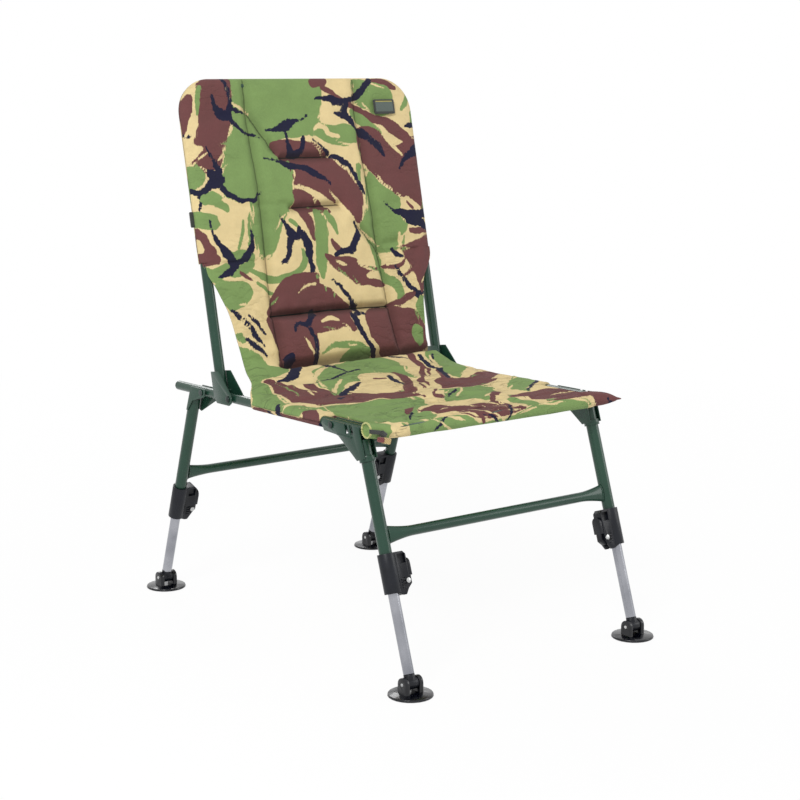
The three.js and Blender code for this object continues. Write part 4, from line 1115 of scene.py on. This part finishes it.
stroke(G, (-172, 290, 1.5), (-162, 270, 2.5), (-155, 244, 1.5))
stroke(G, (-151, 286, 1.5), (-146, 262, 2.5), (-143, 236, 1.5))
stroke(G, (-196, 300, 5), (-180, 306, 9), (-164, 300, 8), (-150, 306, 8))
stroke(B, (-241, 256, 3.5), (-232, 275, 6), (-226, 295, 9), (-242, 306, 11), (-216, 306, 8))
stroke(T, (-246, 270, 4.5), (-240, 290, 4))
stroke(T, (-228, 262, 1.5), (-221, 281, 2))
stroke(K, (-220, 240, 1.5), (-218, 261, 3.5), (-204, 287, 6), (-192, 305, 8), (-180, 318, 8), (-167, 312, 7),
       (-155, 300, 6), (-147, 289, 5), (-143, 261, 2))
stroke(G, (-244, 326, 9), (-222, 334, 10), (-202, 324, 9), (-182, 334, 5), (-166, 326, 9), (-150, 318, 7))
stroke(K, (-185, 325, 5.5), (-199, 330, 5), (-216, 338, 1.5))
stroke(B, (-176, 333, 1.5), (-165, 340, 3.5), (-157, 346, 1.5))
patch(G, (-230, 350), (-205, 345), (-175, 347), (-160, 358), (-158, 370), (-168, 382), (-185, 390),
      (-206, 396), (-213, 380), (-224, 365))
stroke(G, (-156, 325, 3), (-140, 336, 5), (-120, 345, 6), (-98, 348, 6), (-70, 343, 6), (-50, 330, 5.5),
       (-42, 314, 4), (-45, 298, 2))
stroke(G, (-146, 352, 2.5), (-130, 362, 3.5), (-117, 371, 2))
stroke(K, (-84, 237, 1.5), (-75, 253, 3.5), (-68, 266, 6), (-62, 276, 8), (-70, 288, 6), (-73, 302, 4.5),
       (-80, 315, 4), (-91, 320, 2))
stroke(K, (-62, 277, 7), (-50, 276, 7), (-46, 264, 4.5))
stroke(K, (-42, 272, 7), (-33, 290, 7.5), (-32, 318, 6), (-30, 335, 6), (-35, 350, 2.5), (-36, 361, 1.5))
stroke(G, (-62, 250, 3.5), (-52, 259, 3.5))
stroke(K, (18, 316, 2.5), (35, 310, 5.5), (55, 308, 6), (68, 292, 7), (78, 277, 6), (73, 261, 2.5))
patch(B, (0, 311), (20, 318), (45, 320), (60, 322), (75, 333), (100, 340), (130, 340), (160, 338), (173, 331),
      (166, 343), (140, 347), (110, 348), (84, 350), (80, 358), (95, 362), (120, 366), (125, 373), (110, 376),
      (80, 372), (60, 369), (45, 358), (25, 345), (8, 328))
stroke(T, (20, 325, 1.5), (32, 330, 3.5), (43, 336, 1.5))
stroke(G, (104, 304, 5), (114, 325, 8), (118, 345, 5), (130, 362, 10), (145, 376, 10), (150, 391, 8),
       (144, 401, 4))
stroke(T, (128, 324, 5), (133, 339, 3.5))
stroke(T, (129, 350, 3.5), (141, 356, 3))
stroke(K, (150, 311, 3.5), (158, 322, 5), (173, 328, 1.5))
stroke(K, (151, 340, 2.5), (162, 362, 4), (176, 381, 5), (188, 397, 7), (202, 391, 2.5))
stroke(B, (165, 361, 1.8), (178, 355, 2), (187, 349, 1.2))
patch(B, (171, 308), (190, 302), (215, 295), (244, 286), (248, 300), (240, 325), (230, 345), (221, 365),
      (206, 386), (198, 395), (195, 380), (190, 360), (182, 340), (175, 325))
stroke(B, (121, 411, 1.5), (145, 406, 4.5), (165, 400, 6), (181, 395, 4))
patch(B, (-125, 411), (-121, 385), (-109, 364), (-92, 351), (-72, 344), (-45, 341), (-25, 344), (-20, 352),
      (-22, 362), (-8, 368), (10, 382), (26, 398), (33, 411))
stroke(T, (-66, 374, 1.2), (-50, 365, 2.6), (-30, 362, 2.2))
patch(B, (-127, 406), (33, 406), (28, 425), (33, 446), (25, 453), (15, 445), (0, 443), (-20, 448), (-36, 451),
      (-50, 451), (-52, 470), (-55, 495), (-60, 503), (-128, 503), (-126, 470), (-130, 450))
stroke(T, (-31, 430, 2.5), (-15, 424, 5), (1, 428, 2.5))
stroke(G, (-46, 486, 1.5), (-25, 475, 3.5), (0, 474, 6), (30, 480, 6), (52, 493, 8))
stroke(G, (0, 497, 5), (22, 490, 9), (48, 498, 6))
stroke(T, (8, 475, 1.8), (26, 480, 1.8))
stroke(K, (-91, 441, 1.5), (-80, 428, 3), (-65, 432, 5), (-50, 420, 5), (-40, 411, 5))
stroke(K, (-60, 440, 4.5), (-56, 460, 3.5), (-58, 485, 4.5), (-56, 506, 5.5))
stroke(T, (-76, 454, 1.5), (-70, 470, 3), (-63, 486, 2))
stroke(K, (4, 356, 1.5), (22, 370, 3), (38, 390, 4), (50, 411, 6))
stroke(K, (36, 424, 6), (42, 455, 6), (52, 475, 4), (69, 498, 4))
stroke(K, (38, 425, 5), (52, 419, 4), (66, 428, 3), (76, 441, 1.5))
patch(B, (60, 428), (80, 415), (110, 412), (126, 414), (150, 418), (172, 425), (181, 435), (191, 450),
      (199, 470), (190, 492), (150, 497), (100, 498), (76, 492), (65, 475), (60, 455))
stroke(T, (50, 432, 5), (50, 443, 4))
stroke(T, (53, 464, 2.5), (65, 480, 4), (76, 496, 2.5))
stroke(G, (172, 464, 12), (172, 478, 12))
stroke(G, (196, 408, 8), (190, 424, 11), (197, 442, 8))
stroke(K, (-204, 396, 2.5), (-186, 414, 4.6), (-173, 430, 5.4), (-165, 445, 4.4), (-154, 460, 2))
stroke(K, (-176, 404, 2.4), (-160, 420, 3), (-148, 440, 1.8))
stroke(K, (-186, 444, 3.4), (-172, 458, 4.6), (-156, 478, 1.8))
stroke(T, (-191, 409, 1.3), (-178, 422, 1.8))
stroke(G, (-197, 438, 6), (-192, 446, 4))
patch(G, (-204, 458), (-190, 461), (-175, 470), (-163, 485), (-158, 500), (-128, 506), (-132, 520),
      (-160, 530), (-196, 535), (-210, 520), (-206, 490))
stroke(K, (-112, 488, 9), (-106, 505, 8), (-120, 524, 9), (-140, 545, 10), (-163, 546, 5))
stroke(B, (-98, 502, 8), (-82, 503, 5))
patch(G, (-204, 498), (-196, 540), (-203, 585), (-214, 640), (-224, 660), (-268, 664), (-268, 595),
      (-240, 580), (-215, 552))
patch(G, (-120, 596), (-108, 562), (-86, 531), (-50, 512), (0, 503), (50, 502), (76, 516), (84, 540),
      (78, 580), (66, 625), (54, 628), (42, 596), (22, 578), (-6, 570), (-30, 580), (-44, 604), (-76, 612),
      (-112, 650), (-124, 640), (-118, 615))
stroke(T, (-133, 580, 1.8), (-112, 546, 2.6), (-84, 520, 2.8), (-54, 507, 1.8))
stroke(T, (-124, 594, 2.2), (-97, 552, 4), (-62, 524, 4), (-28, 512, 3.4), (-6, 508, 1.6))
stroke(T, (-118, 642, 2.2), (-96, 614, 3.4), (-76, 599, 2))
stroke(T, (-106, 650, 2), (-86, 628, 3.2), (-60, 611, 2))
stroke(K, (-54, 507, 3.4), (-44, 520, 4), (-38, 542, 2.6), (-35, 560, 1.6))
stroke(T, (-34, 592, 2.4), (-12, 579, 4.2), (10, 578, 4.4), (30, 590, 2.6))
stroke(T, (-28, 606, 2.4), (-8, 598, 3.4))
stroke(B, (-10, 602, 3), (6, 610, 4))
patch(B, (-192, 543), (-176, 539), (-167, 556), (-162, 590), (-154, 612), (-146, 590), (-138, 576),
      (-128, 592), (-124, 622), (-118, 652), (-98, 668), (-84, 676), (-50, 688), (-18, 684), (4, 668),
      (14, 660), (12, 690), (-8, 708), (-18, 732), (-34, 750), (-52, 744), (-70, 728), (-92, 716),
      (-130, 724), (-170, 716), (-198, 694), (-213, 666), (-206, 640), (-200, 600), (-194, 570))
stroke(T, (-151, 562, 2.4), (-152, 596, 2.8), (-149, 632, 1.4))
stroke(T, (-160, 642, 1.6), (-157, 616, 1.8))
stroke(G, (-178, 560, 1.4), (-176, 600, 2), (-184, 634, 1.4))
patch(T, (-94, 666), (-72, 640), (-48, 621), (-26, 611), (-6, 616), (4, 632), (4, 660), (-12, 676),
      (-42, 683), (-72, 678))
stroke(B, (46, 586, 5), (42, 612, 8), (30, 640, 9), (14, 664, 8), (-4, 684, 5))
stroke(K, (20, 602, 4), (13, 628, 5), (8, 654, 3.4))
stroke(K, (-50, 613, 2.8), (-80, 634, 6), (-108, 654, 7), (-138, 682, 4))
stroke(T, (-214, 658, 3.4), (-206, 688, 6.4), (-190, 712, 5), (-172, 722, 2))
stroke(K, (-238, 648, 3.5), (-252, 670, 5), (-264, 692, 5))
stroke(B, (-222, 696, 6), (-228, 720, 9), (-240, 748, 9), (-258, 782, 6))
stroke(T, (-212, 724, 1.8), (-208, 756, 2.6), (-214, 790, 1.6))
patch(G, (-206, 716), (-172, 724), (-130, 730), (-92, 722), (-68, 736), (-44, 756), (-34, 770), (-44, 792),
      (-56, 812), (-86, 822), (-104, 842), (-96, 868), (-120, 900), (-150, 912), (-205, 905), (-236, 880),
      (-226, 820), (-212, 770))
stroke(K, (-142, 796, 1.6), (-112, 794, 3), (-88, 784, 2))
stroke(K, (-152, 884, 1.4), (-130, 858, 2.2), (-110, 834, 3))
stroke(B, (-118, 832, 3), (-104, 820, 6), (-88, 812, 3))
stroke(T, (-222, 862, 2), (-236, 884, 5), (-250, 902, 4))
stroke(B, (134, 503, 7), (126, 540, 8), (118, 572, 9), (100, 600, 8), (78, 626, 8), (56, 650, 8),
       (40, 676, 8), (28, 694, 4))
stroke(B, (128, 600, 4), (112, 640, 7), (92, 664, 8), (74, 690, 8), (64, 706, 4))
patch(B, (66, 668), (92, 650), (118, 644), (148, 660), (176, 640), (206, 622), (246, 606), (248, 634),
      (205, 662), (172, 690), (146, 716), (120, 724), (86, 724), (70, 704))
stroke(K, (150, 518, 4.4), (141, 556, 5.6), (134, 598, 6), (120, 636, 5), (106, 656, 3))
stroke(T, (66, 506, 4), (88, 512, 6), (98, 536, 8.6), (92, 566, 8.6), (80, 598, 6.6), (64, 630, 3.4))
stroke(K, (86, 509, 2), (102, 519, 3.4), (118, 526, 2.4))
stroke(T, (80, 626, 1.6), (62, 652, 2.6), (50, 682, 2.6), (42, 704, 1.8))
stroke(T, (40, 668, 3), (38, 690, 4.2), (28, 702, 2.4))
stroke(T, (108, 590, 1.6), (92, 616, 2), (74, 640, 1.6))
patch(G, (164, 516), (192, 503), (212, 518), (216, 552), (206, 588), (176, 620), (152, 646), (134, 644),
      (134, 612), (150, 572), (158, 540))
stroke(K, (156, 552, 3), (168, 538, 3.4), (180, 522, 1.6))
stroke(T, (168, 528, 2.4), (158, 556, 3.4), (148, 584, 2.4))
stroke(T, (142, 652, 3.2), (164, 634, 5.4), (192, 610, 6), (240, 578, 6))
stroke(T, (214, 508, 2.4), (222, 540, 4), (218, 572, 2))
patch(T, (0, 700), (22, 689), (44, 702), (34, 720), (12, 744), (-10, 768), (4, 790), (30, 814), (52, 844),
      (44, 858), (10, 836), (-26, 812), (-50, 800), (-40, 778), (-20, 756), (-12, 724))
stroke(B, (46, 700, 1.8), (20, 728, 2.2), (-8, 758, 2.6))
stroke(B, (-6, 762, 4), (4, 768, 5))
patch(G, (40, 716), (66, 724), (96, 728), (128, 734), (126, 764), (112, 788), (76, 792), (56, 812), (48, 834),
      (20, 812), (-2, 786), (14, 762), (30, 740))
stroke(K, (52, 744, 2), (34, 758, 3.4), (14, 770, 1.8))
stroke(T, (66, 742, 1.4), (48, 760, 2), (30, 776, 1.4))
stroke(B, (48, 842, 3), (66, 820, 5), (90, 798, 6), (118, 780, 4.4), (134, 776, 2))
stroke(T, (130, 738, 4), (146, 722, 4.4), (176, 700, 4.4), (212, 672, 3.4), (242, 650, 2.4))
stroke(T, (134, 758, 6), (126, 784, 8), (140, 800, 5))
stroke(B, (146, 716, 1.4), (168, 700, 2.4), (196, 680, 1.8))
patch(G, (150, 768), (166, 742), (196, 716), (240, 676), (246, 700), (240, 732), (206, 764), (176, 790),
      (152, 802))
stroke(T, (150, 752, 1.6), (172, 728, 2.4), (190, 712, 1.4))
stroke(K, (240, 734, 3), (206, 764, 3.4), (162, 798, 1.8))
stroke(T, (104, 808, 3.4), (134, 798, 4.4), (160, 802, 3))
patch(B, (94, 822), (130, 808), (170, 812), (206, 822), (246, 842), (248, 882), (205, 898), (150, 905),
      (112, 892), (94, 862))
patch(B, (-96, 838), (-72, 824), (-40, 822), (0, 838), (38, 858), (48, 880), (26, 908), (-28, 902),
      (-72, 888), (-98, 864))
stroke(T, (-97, 870, 2.4), (-74, 884, 4), (-48, 902, 3.4))
stroke(T, (-30, 826, 1.4), (4, 846, 2.4), (36, 870, 2))
stroke(T, (58, 852, 3), (54, 876, 5), (44, 900, 4))
stroke(G, (66, 862, 6), (74, 884, 12), (86, 908, 12))
stroke(G, (120, 912, 6), (150, 920, 7))
stroke(T, (205, 880, 3), (222, 872, 4.4), (240, 868, 3))
stroke(T, (150, 866, 1.4), (180, 856, 2.2), (212, 858, 1.4))
patch(G, (-168, 900), (-140, 898), (-100, 904), (-60, 916), (-40, 940), (-60, 976), (-176, 976))
stroke(T, (-206, 890, 3), (-190, 914, 8), (-180, 942, 9), (-186, 972, 8))
patch(B, (-76, 896), (-30, 902), (20, 904), (50, 898), (56, 912), (20, 918), (-20, 922), (-56, 914))
patch(G, (-50, 934), (-16, 928), (30, 922), (70, 910), (104, 908), (150, 908), (190, 920), (200, 950),
      (200, 976), (-60, 976))
patch(B, (114, 896), (150, 902), (196, 908), (206, 930), (204, 950), (214, 976), (252, 976), (252, 880),
      (180, 884))
stroke(T, (104, 903, 1.4), (150, 906, 2.2), (190, 912, 1.6))
stroke(K, (200, 900, 3), (216, 906, 6), (234, 904, 5), (246, 898, 2))
stroke(K, (-30, 914, 1.6), (-10, 922, 2.6), (4, 940, 1.6))
stroke(K, (-128, 930, 1.6), (-110, 914, 2.4), (-96, 902, 1.4))
stroke(G, (-246, 676, 9), (-228, 706, 13), (-212, 736, 13), (-204, 780, 10), (-202, 830, 7))
stroke(B, (-252, 664, 4), (-252, 716, 6), (-250, 760, 5), (-246, 800, 2.4))
stroke(B, (-140, 668, 4), (-84, 690, 8), (-44, 704, 9), (-30, 738, 6), (-26, 760, 2))
stroke(B, (-91, 829, 2), (-57, 882, 4), (-31, 930, 2))
stroke(T, (-131, 908, 1.2), (-86, 936, 2.4), (-34, 946, 1.4))
stroke(T, (-232, 700, 1), (-216, 734, 1.8), (-212, 772, 1))
stroke(T, (-65, 839, 1.2), (-19, 856, 2.2), (26, 897, 1.2))
stroke(T, (-87, 874, 1.2), (-27, 903, 2.2), (16, 932, 1.4))
stroke(T, (-206, 868, 2), (-204, 918, 3.4), (-194, 946, 2))
stroke(K, (40, 887, 1.4), (26, 914, 2.4), (11, 939, 1.4))
stroke(K, (-139, 593, 1.2), (-61, 569, 2.4), (-3, 551, 1.2))


# Stretches along the cloth, beside its cross seams, that get no bristle marks
UNMARKED = ((392, 422), (462, 512))
# How far from an ink's edge its distances are worked out
INK_REACH = 12.0


def brush_marks():
    """Bristle marks just inside the patches' outlines, each in a colour that lies under the patch."""
    random = np.random.default_rng(8)
    marked = []
    for colour, kind, points in PRINT:
        marked.append((colour, kind, points))
        if kind == "stroke" or colour == T:
            continue
        line = smooth_line(points, 5, True)
        area = np.sum(line[:, 0] * np.roll(line[:, 1], -1) - np.roll(line[:, 0], -1) * line[:, 1])
        length = np.sum(np.hypot(*np.diff(line, axis=0).T))
        for _ in range(int(length / 75)):
            start, run = random.integers(len(line)), random.integers(4, 9)
            part = line[(start + np.arange(run)) % len(line)]
            along = np.gradient(part, axis=0)
            inward = np.stack([-along[:, 1], along[:, 0]], 1) * math.copysign(1, area)
            inward /= np.linalg.norm(inward, axis=1)[:, None] + 1e-9
            part = part + inward * np.linspace(random.uniform(0, 3), random.uniform(4, 10), run)[:, None]
            wide = 1.9 * np.sin(np.linspace(0.35, np.pi - 0.35, run))
            under = T if colour == G or random.random() < 0.6 else G
            if any(low < place < high for place in part[:, 1] for low, high in UNMARKED):
                continue
            marked.append((under, "stroke", [(x, s, w) for (x, s), w in zip(part, wide)]))
    return marked


def smooth_line(points, steps, closed=False):
    """A smooth line through points, with some steps from each to the next."""
    points = np.array(points, float)
    count = len(points)
    line = []
    for i in range(count if closed else count - 1):
        near = [k % count if closed else min(max(k, 0), count - 1) for k in range(i - 1, i + 3)]
        a, b, c, d = points[near]
        for step in range(steps):
            t = step / steps
            bent = (2 * a - 5 * b + 4 * c - d) * t**2 + (3 * b - a - 3 * c + d) * t**3
            line.append(0.5 * (2 * b + (c - a) * t + bent))
    return np.array(line if closed else line + [points[-1]])


def patch_field(px, ps, points):
    """Distances to a patch's outline, below zero inside."""
    line = smooth_line(points, 5, True)
    low, high = line.min(0) - INK_REACH, line.max(0) + INK_REACH
    field = np.full(px.shape, INK_REACH)
    near = (px > low[0]) & (px < high[0]) & (ps > low[1]) & (ps < high[1])
    x, s = px[near], ps[near]
    best = np.full(x.shape, 1e9)
    inside = np.zeros(x.shape, bool)
    for start, end in zip(line, np.roll(line, -1, axis=0)):
        best = np.minimum(best, to_segment(x, s, start, end)[1])
        (x1, s1), (x2, s2) = start, end
        crosses = (s1 > s) != (s2 > s)
        with np.errstate(divide="ignore", invalid="ignore"):
            inside ^= crosses & (x < (x2 - x1) * (s - s1) / (s2 - s1) + x1)
    field[near] = np.where(inside, -best, best)
    return field


def stroke_field(px, ps, points):
    """Distances to a stroke's edge, below zero inside. Each point of it has its own half width."""
    field = np.full(px.shape, INK_REACH)
    line = smooth_line(points, 4) if len(points) > 2 else np.array(points, float)
    for start, end in zip(line, line[1:]):
        (x1, s1, r1), (x2, s2, r2) = start, end
        reach = max(r1, r2) + INK_REACH
        near = ((px > min(x1, x2) - reach) & (px < max(x1, x2) + reach)
                & (ps > min(s1, s2) - reach) & (ps < max(s1, s2) + reach))
        share, off = to_segment(px[near], ps[near], start, end)
        field[near] = np.minimum(field[near], off - (r1 + (r2 - r1) * share))
    return field


def print_fields(px, ps):
    """Signed distances to each ink's edge, in millimetres, below zero inside."""
    px = px + 2.2 * value_noise(px, ps, 17, 11) + 0.9 * value_noise(px, ps, 7, 13)
    ps = ps + 2.2 * value_noise(px, ps, 17, 12) + 0.9 * value_noise(px, ps, 7, 14)
    inks = {ink: np.full(px.shape, INK_REACH) for ink in (G, B, K)}
    order = [T, G, B, K]
    for colour, kind, points in brush_marks():
        field = patch_field(px, ps, points) if kind == "patch" else stroke_field(px, ps, points)
        for ink in order[order.index(colour) + 1:]:
            inks[ink] = np.maximum(inks[ink], -field)
        if colour != T:
            inks[colour] = np.minimum(inks[colour], field - (0.2 if colour == K else 0.8))
    return inks


def print_on(mesh, cloth_x, cloth_s, seams=None):
    """Writes the print's fields, the seams' distances with the strength of their painted shade, how loose the
    cloth is and its own coordinates, a value for each point.
    """
    def write(name, kind, field, values):
        layer = mesh.attributes.new(name, kind, "POINT")
        layer.data.foreach_set(field, values.T.astype(np.float32).ravel())

    for ink, field in print_fields(cloth_x, cloth_s).items():
        write(f"{ink}_ink", "FLOAT", "value", field * MM)
    none = np.zeros(len(cloth_x))
    lines, seam_shading = seams or (np.full((3, len(cloth_x)), FAR_SEAM), np.array([none, none, none]))
    sides = smooth(118, 150, np.abs(cloth_x))
    loose = between(LOOSE_MIDDLE, cloth_s) * (1 - sides) + between(LOOSE_SIDES, cloth_s) * sides
    write("loose", "FLOAT", "value", loose)
    write("seams", "FLOAT_VECTOR", "vector", lines * MM)
    write("seam_shading", "FLOAT_VECTOR", "vector", seam_shading)
    write("cloth", "FLOAT_VECTOR", "vector", np.array([cloth_x, cloth_s, none]) * MM)


def build_cover():
    """The cover as one closed mesh: its face, its reverse and the print on both."""
    x, face, thick, drop, half, s, normal = cover_surface()
    count, wide = x.shape
    along = np.repeat(s[:, None], wide, 1)
    ends = smooth(0, 20, along) * smooth(0, 16, s[-1] - along)
    rise = padding(x, along, half[:, None]) * ends
    top = face + normal[:, None, :] * (rise - drop)[..., None]
    inward = half[:, None] - np.abs(x)
    quiet = 0.5 * value_noise(x, along, 40, 21) * smooth(0, 24, inward) * ends
    # Where a groove is deeper than the cloth is thick, the reverse goes down with it.
    under = 2.4 * smooth(0, 20, inward) * ends + drop - rise
    base = face - normal[:, None, :] * np.maximum(thick - drop - quiet, under)[..., None]
    middle = (top + base) / 2
    for grid in (top, base):
        grid[:, 0], grid[:, -1] = middle[:, 0], middle[:, -1]
        grid[0], grid[-1] = middle[0], middle[-1]
    vertices, cloth_x, cloth_s, front = [], [], [], []
    ids = np.zeros((2, count, wide), int)
    for side, grid in enumerate((top, base)):
        for r in range(count):
            # Under the front tube the print goes on. Behind the sleeve's seam it is mirrored and moved.
            moved = side == 1 and s[r] < SLEEVE_SEAM_ALONG
            row_s = REVERSE_ALONG - s[r] if moved else 2 * s[-1] - s[r] if side else s[r]
            for c in range(wide):
                if side and (r in (0, count - 1) or c in (0, wide - 1)):
                    ids[1, r, c] = ids[0, r, c]
                    continue
                ids[side, r, c] = len(vertices)
                vertices.append((x[r, c], grid[r, c, 0], grid[r, c, 1]))
                cloth_x.append(-x[r, c] if moved else x[r, c])
                cloth_s.append(row_s)
                front.append(side == 0)
    faces = []
    for r in range(count - 1):
        for c in range(wide - 1):
            corners = (r, c), (r, c + 1), (r + 1, c + 1), (r + 1, c)
            faces.append([int(ids[0][p]) for p in reversed(corners)])
            faces.append([int(ids[1][p]) for p in corners])
    faces = [tuple(dict.fromkeys(face)) for face in faces]
    cover = make_object("padded_cover", vertices, [face for face in faces if len(face) > 2], CAMO)
    cloth_x, cloth_s = np.array(cloth_x), np.array(cloth_s)
    lines, seam_shading = seam_fields(cloth_x, cloth_s)
    print_on(cover.data, cloth_x, cloth_s, (lines, seam_shading * np.array(front)))
    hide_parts("seat_cover", "lumbar_cover", "back_cover")
    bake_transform(cover)


build_cover()


# Loose ends of the front sleeve, badge and side tab

END_SIDES = 48


def cloth_end(name, rings, shift):
    """A stuffed end of the front sleeve: oval rings of x, y, z and two radii, closed at both ends."""
    sides = END_SIDES
    vertices = []
    for i, (x, y, z, deep, tall) in enumerate(rings):
        for k in range(sides):
            turn = 2 * math.pi * k / sides
            ripple = 1 + 0.035 * math.sin(3 * turn + 0.7 * i) + 0.025 * math.sin(7 * turn - 0.9 * i)
            lift = 0.5 * math.sin(5 * turn + 1.3 * i)
            side, up = deep * ripple * math.cos(turn), tall * ripple * math.sin(turn)
            vertices.append((x + lift, y + side, z + up))
    faces = [face[::-1] for face in end_faces(len(rings), sides)]
    faces += [(b, a, a + sides, b + sides) for a, b in ring_edges(len(rings), sides)]
    if rings[-1][0] < rings[0][0]:
        faces = [face[::-1] for face in faces]
    end = make_object(name, vertices, faces, CAMO)
    softened = end.modifiers.new("soft", "SUBSURF")
    softened.levels = softened.render_levels = 1
    final = keep_modifiers(end)
    finish_mesh(final, CAMO)
    places = np.array([v.co for v in final.vertices]) / MM
    print_on(final, places[:, 0] + shift[0], places[:, 2] - 0.6 * places[:, 1] + shift[1])
    settle(end, "seat")


cloth_end("sleeve_end_left", [
    (-194, -266, 383.2, 19, 9.8), (-206, -267, 383.6, 18, 11), (-218, -269, 384.6, 15.5, 11.6),
    (-230, -270.5, 386.2, 13, 11.8), (-239, -271.5, 388, 11.8, 11.6), (-245, -272, 389.4, 11.8, 11.8),
    (-246.5, -272, 389.8, 10.6, 10.6), (-244.5, -272, 389.6, 9, 9), (-243, -272, 389.2, 6, 6),
    (-244, -272, 389, 2.4, 2.4)], (176.0, -508.0))
cloth_end("sleeve_end_right", [
    (190, -260, 384.6, 23, 11.2), (204, -262, 384.8, 22.5, 12), (216, -265, 384.6, 21, 12),
    (227, -268, 384.2, 19, 11.2), (237, -271, 383.8, 16.4, 9.8), (245, -274, 383.4, 13, 8),
    (251, -277, 383, 9.4, 6), (255, -279.5, 382.7, 5.6, 3.8), (258, -281.5, 382.5, 3, 2.2),
    (262, -284, 382.2, 2, 1.5), (264, -285, 382.1, 0.8, 0.7)], (-45.0, -390.0))

# The binding round the mouth of the sleeve's left end
RIM_X, RIM_Y, RIM_Z = -246.3, -272, 389.7
RIM_R = 11.2
RIM_STEPS = 40
rim_points, rim_radii = [], []
for step in range(RIM_STEPS + 1):
    turn = 2 * math.pi * step / RIM_STEPS
    rim_points.append((RIM_X, RIM_Y + RIM_R * math.cos(turn), RIM_Z + RIM_R * math.sin(turn)))
    rim_radii.append(1.5 + 0.2 * math.sin(3.1 * step))
settle(make_object("sleeve_rim", *sweep(rim_points, rim_radii, 8), BINDING), "seat")


def box_centre(node):
    low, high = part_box(node)
    return (low + high) / 2 / MM


BACK_UP = Vector((0, math.sin(BACK_LEAN), math.cos(BACK_LEAN)))
BACK_OUT = Vector((0, -math.cos(BACK_LEAN), math.sin(BACK_LEAN)))
ON_BACK = ((1, 0, 0), BACK_UP)
label = box_centre("badge")
badge = rounded_slab("badge_border", label, ON_BACK, (46, 26), 2.5, 2.0, EDGING, "badge", "backrest")
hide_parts("badge")
label_face, label_line = label + BACK_OUT * 1.1, label + BACK_OUT * 1.3 + BACK_UP * 9.2
rounded_slab("badge_face", label_face, ON_BACK, (38, 18), 1.5, 0.8, BADGE_FACE, "badge", "backrest", 0.2)
rounded_slab("badge_line", label_line, ON_BACK, (37, 1.6), 0.6, 0.7, PIPING, "badge", "backrest")
loop = box_centre("side_tab")
tab = rounded_slab("side_loop", loop, ON_BACK, (6.5, 26), 1.5, 3.0, EDGING, "cover", "backrest")
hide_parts("side_tab")

# The strap at the left end of the sleeve: name, place, axes, size, corner, thickness, material and bulge.
STRAP = [
    ("band", (-238.5, -285.4, 388.2), ((1, -0.06, -0.2), (0.1, 0.15, 1)), (24, 6.5), 1.6, 2.0, EDGING, 0.2),
    ("turn", (-226.5, -287.4, 383.8), ((0.75, -0.1, -0.62), (0.62, 0, 0.75)), (11, 9), 1.8, 2.6, EDGING, 0.2),
    ("knot", (-232, -287.6, 376.5), ((1, 0, -0.15), (0.15, 0, 1)), (10, 8), 2.6, 4.4, KNOT, 0.5),
    ("tip", (-221.5, -287.8, 373.5), ((1, 0, -0.3), (0.3, 0, 1)), (16, 9.5), 2.2, 3.0, TIP, 0.4),
]
for name, *form, bulge in STRAP:
    rounded_slab(f"strap_{name}", *form, "cover", "seat", bulge)


# Floor, light and camera


def floor_material():
    """Matt and pale, and white where it is seen, a little less so under the chair."""
    n = new_nodes("floor_white")
    place = n.object_place()
    cloudy = n.ramp(n.noise(place, 3.0, 2.0), 0.3, 0.7, 0.0, 0.4)
    n.set(Base_Color=n.mix(cloudy, (0.93, 0.93, 0.93, 1.0), (0.95, 0.95, 0.95, 1.0)), Roughness=0.9)
    glow = n.add("ShaderNodeEmission", Color=WHITE, Strength=1.0)
    away = n.add("ShaderNodeVectorMath", {"operation": "LENGTH"}, Vector=place).outputs["Value"]
    share = n.math("MULTIPLY", n.seen(), n.ramp(away, 0.7, 2.6, FLOOR_NEAR, 1.0))
    joined = n.mix_shaders(share, n.surface.outputs[0], glow.outputs[0])
    n.feed(n.tree.nodes["Material Output"], "Surface", joined)
    return n.owner


corners = [(x * FLOOR_HALF, y * FLOOR_HALF, FLOOR_Z) for x, y in ((-1, -1), (1, -1), (1, 1), (-1, 1))]
floor = make_object("floor", corners, [(0, 1, 2, 3)], floor_material())

studio = Nodes(bpy.data.worlds.new("studio"))
scene.world = studio.owner
studio.tree.nodes.clear()
lighting = studio.add("ShaderNodeBackground", Color=WHITE, Strength=STUDIO_LIGHT)
backdrop = studio.add("ShaderNodeBackground", Color=WHITE, Strength=1.0)
joined = studio.mix_shaders(studio.seen(), lighting.outputs[0], backdrop.outputs[0])
studio.feed(studio.add("ShaderNodeOutputWorld"), "Surface", joined)


def area_light(name, place, aim, size, watts):
    """A square lamp at a place in metres, turned to what it aims at."""
    data = bpy.data.lights.new(name, "AREA")
    data.size = size
    data.energy = watts
    lamp = link_object(name, data)
    lamp.location = place
    lamp.rotation_euler = (Vector(aim) - Vector(place)).to_track_quat("-Z", "Y").to_euler()


area_light("key", (-2.4, -1.6, 2.9), (0, 0, 0.5), 1.3, 74)
area_light("fill", (2.8, -2.2, 1.6), (0, 0, 0.4), 1.6, 22)
area_light("rim", (0.8, 2.8, 2.4), (0, 0, 0.5), 1.3, 26)

camera_data = bpy.data.cameras.new("camera")
camera_data.lens = CAMERA_LENS
camera_data.sensor_width = SENSOR
camera_data.clip_end = 100
camera = link_object("camera", camera_data)
camera.location = [c * MM for c in CAMERA_PLACE]
camera.rotation_euler = (math.radians(90 - CAMERA_PITCH), 0, -math.radians(CAMERA_AZIMUTH))
scene.camera = camera
